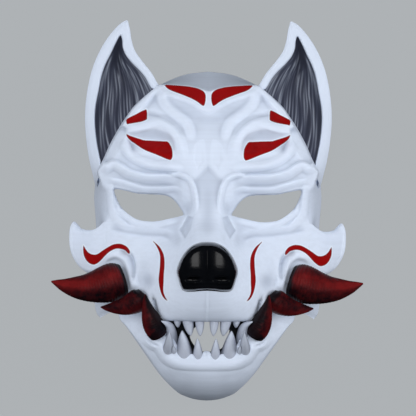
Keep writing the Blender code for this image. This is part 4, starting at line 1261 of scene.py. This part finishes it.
def make_tusk(name, path, cutters, red_at, rings):
    """Curved tusk with fine growth rings near its root, and its share of red paint."""
    obj, unit = bar(name, 48, 110)
    middle, radius, side, over, t = sweep(path, unit)
    angle = np.arctan2(unit[:, 1], unit[:, 0])
    length = t * rings
    ridge = 0.012 * np.sin(length * 2 * math.pi + 0.6 * np.sin(angle * 2)) * (1 - t)**0.6
    flute = 0.010 * np.sin(angle * 9 + 2.2 * np.sin(t * 5)) * np.clip(t * 4, 0, 1)
    r = radius * (1 + ridge + flute)
    p = middle + (side * unit[:, :1] + over * unit[:, 1:2]) * r[:, None]
    on_axis = np.hypot(unit[:, 0], unit[:, 1]) < 0.5
    p[on_axis] = middle[on_axis]
    put(obj, p)
    tidy_normals(obj)
    mark_points(obj, "red", red_at(t, unit[:, 0], unit[:, 1]))
    for cutter in cutters:
        cut(obj, cutter, keep=True)
    return obj


def red_upper(t, across, over):
    """Red along the upper side of the large tusk, heaviest in a stripe that is dry-brushed red and also a
    painted highlight; dark below and in a thin ring at the root.
    """
    # The stripe is dry-brushed red and also a painted highlight streak.
    highlight_stripe = np.exp(-((across + 0.32) / 0.46)**2)
    tip = 0.25 * np.clip((t - 0.55) / 0.4, 0, 1)
    return np.clip((t - 0.025) / 0.04, 0, 1) * (0.22 + tip + (0.50 + 0.2 * t) * highlight_stripe)


def red_middle(t, across, over):
    return np.clip((t - 0.05) / 0.10, 0, 1) * (0.26 + 0.36 * np.clip(across, 0, 1))


def red_lower(t, across, over):
    return np.clip((t - 0.16 + 0.12 * across) / 0.08, 0, 1) * (0.17 + 0.33 * across)


def jaw_core():
    """Coarse solid of the jaw, a little under its front, that the tusks are cut with."""
    x, y = strip(even(JAW_OUTER, 14), even(JAW_INNER, 14), np.linspace(0, 1, 13)).T
    return block("jaw_core", x, y, np.maximum(jaw_height(x, y) - 1.4, 0.5), 26, 12, -1)


def finish_piece(obj, name, material, nodes):
    obj.name = name
    obj.data.name = name
    obj.data.materials.clear()
    obj.data.materials.append(material)
    alone(obj)
    bpy.ops.object.shade_smooth_by_angle(angle=SMOOTH_BELOW)
    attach(obj, "root")
    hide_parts(*nodes)


def make_pieces():
    shell_white = white_paint("shell_white_marked", True)
    plain_white = white_paint("jaw_white", False)
    core = face_core(1.6)
    lower_core = jaw_core()
    face = make_face()
    paint_marks(face)
    paint_crease_shade(face, front_height, 110, -92, 112)
    finish_piece(face, "face", shell_white, ["face_shell"])
    jaw = make_jaw()
    paint_crease_shade(jaw, jaw_height, 72, -146, -56)
    finish_piece(jaw, "jaw", plain_white, ["lower_jaw"])
    upper = join(make_teeth(UPPER_TEETH, upper_root, 2.4), "upper_teeth")
    bone = tooth_white_painted_shade()
    finish_piece(upper, "upper_teeth", bone, ["face_shell"])
    lower = join(make_teeth(LOWER_TEETH, lower_root, 1.2) + [make_horn(1), make_horn(-1)], "lower_teeth")
    finish_piece(lower, "lower_teeth", bone, ["lower_jaw"])
    nose = make_nose()
    finish_piece(nose, "nose_pad", black_gloss(), ["nose"])
    ear_paint = ear_dark("ear_dark_strands")
    ear = make_ear(core)
    other_ear = mirror_copy(ear, "left_ear")
    finish_piece(ear, "right_ear", ear_paint, ["ear_right"])
    finish_piece(other_ear, "left_ear", ear_paint, ["ear_left"])
    brushed = tusk_brushed()
    for word, path, cutters, red_at, rings in (
            ("upper", TUSK_UPPER, [core], red_upper, 26),
            ("middle", TUSK_MIDDLE, [core, lower_core], red_middle, 18),
            ("lower", TUSK_LOWER, [core, lower_core], red_lower, 18)):
        tusk = make_tusk("tusk", path, cutters, red_at, rings)
        other = mirror_copy(tusk, "tusk_left")
        finish_piece(tusk, "right_" + word + "_tusk", brushed, ["tusk_" + word + "_right"])
        finish_piece(other, "left_" + word + "_tusk", brushed, ["tusk_" + word + "_left"])
    bpy.data.objects.remove(core)
    bpy.data.objects.remove(lower_core)
    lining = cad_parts["mouth_lining"]
    black = lining_black()
    for k in range(max(1, len(lining.material_slots))):
        if lining.material_slots:
            lining.material_slots[k].material = black
        else:
            lining.data.materials.append(black)


# Floor, camera and light: name, place, size and power of each light

LIGHT_AIM = Vector((0, 0, 0.05))
SOFT_LIGHTS = [
    ("key", (0, 0.16, 1.6), (0.8, 0.8), 10.9),
    ("side_fill", (1.2, 0.0, 0.62), (0.8, 0.9), 9.4),
    ("side_fill", (-1.2, 0.0, 0.62), (0.8, 0.9), 7.4),
    ("top_fill", (0, 1.2, 0.75), (0.9, 0.8), 3.8),
]
WINDOW_LIGHT = ("window_box", (0, 0.05, 1.5), (0.42, 0.8), 1.9)
WORLD_STRENGTH = 0.34
CAMERA_PLACE = (0.0002, 0.0027, 1.54)
CAMERA_ROLL = math.radians(0.4)
CAMERA_LENS = 176


def make_stage():
    bpy.ops.object.select_all(action="DESELECT")
    bpy.ops.mesh.primitive_circle_add(vertices=96, radius=6, fill_type="NGON", location=(0, 0, -0.0005))
    floor = bpy.context.object
    floor.name = "floor"
    m, tree, shader = new_material("floor_pale")
    shader.inputs["Base Color"].default_value = (*scaled(STUDIO_GREY, 0.04), 1)
    shader.inputs["Roughness"].default_value = 0.9
    shader.inputs["Specular IOR Level"].default_value = 0.0
    shader.inputs["Emission Color"].default_value = (*STUDIO_GREY, 1)
    shader.inputs["Emission Strength"].default_value = 0.96
    floor.data.materials.append(m)
    floor.visible_diffuse = False
    floor.visible_glossy = False


def area_light(name, place, size, power):
    """Rectangular light that looks at the middle of the mask."""
    light = bpy.data.lights.new(name, "AREA")
    light.shape = "RECTANGLE"
    light.size, light.size_y = size
    light.energy = power
    obj = bpy.data.objects.new(name, light)
    bpy.context.scene.collection.objects.link(obj)
    obj.location = place
    obj.rotation_euler = (LIGHT_AIM - Vector(place)).to_track_quat("-Z", "Y").to_euler()
    return obj


def make_light():
    world = bpy.data.worlds.new("studio")
    bpy.context.scene.world = world
    world.use_nodes = True
    back = world.node_tree.nodes["Background"]
    back.inputs["Color"].default_value = (*STUDIO_GREY, 1)
    back.inputs["Strength"].default_value = WORLD_STRENGTH
    world.cycles_visibility.glossy = False
    for name, place, size, power in SOFT_LIGHTS:
        area_light(name, place, size, power).visible_glossy = False
    area_light(*WINDOW_LIGHT).visible_diffuse = False


def make_camera():
    cam = bpy.data.cameras.new("camera")
    cam.lens = CAMERA_LENS
    cam.sensor_width = 36
    cam.clip_start = 0.05
    cam.clip_end = 30
    obj = bpy.data.objects.new("camera", cam)
    bpy.context.scene.collection.objects.link(obj)
    obj.location = CAMERA_PLACE
    obj.rotation_euler = (0, 0, CAMERA_ROLL)
    bpy.context.scene.camera = obj


def main():
    bpy.context.scene.view_settings.view_transform = "Standard"
    make_camera()
    make_pieces()
    make_stage()
    make_light()


main()
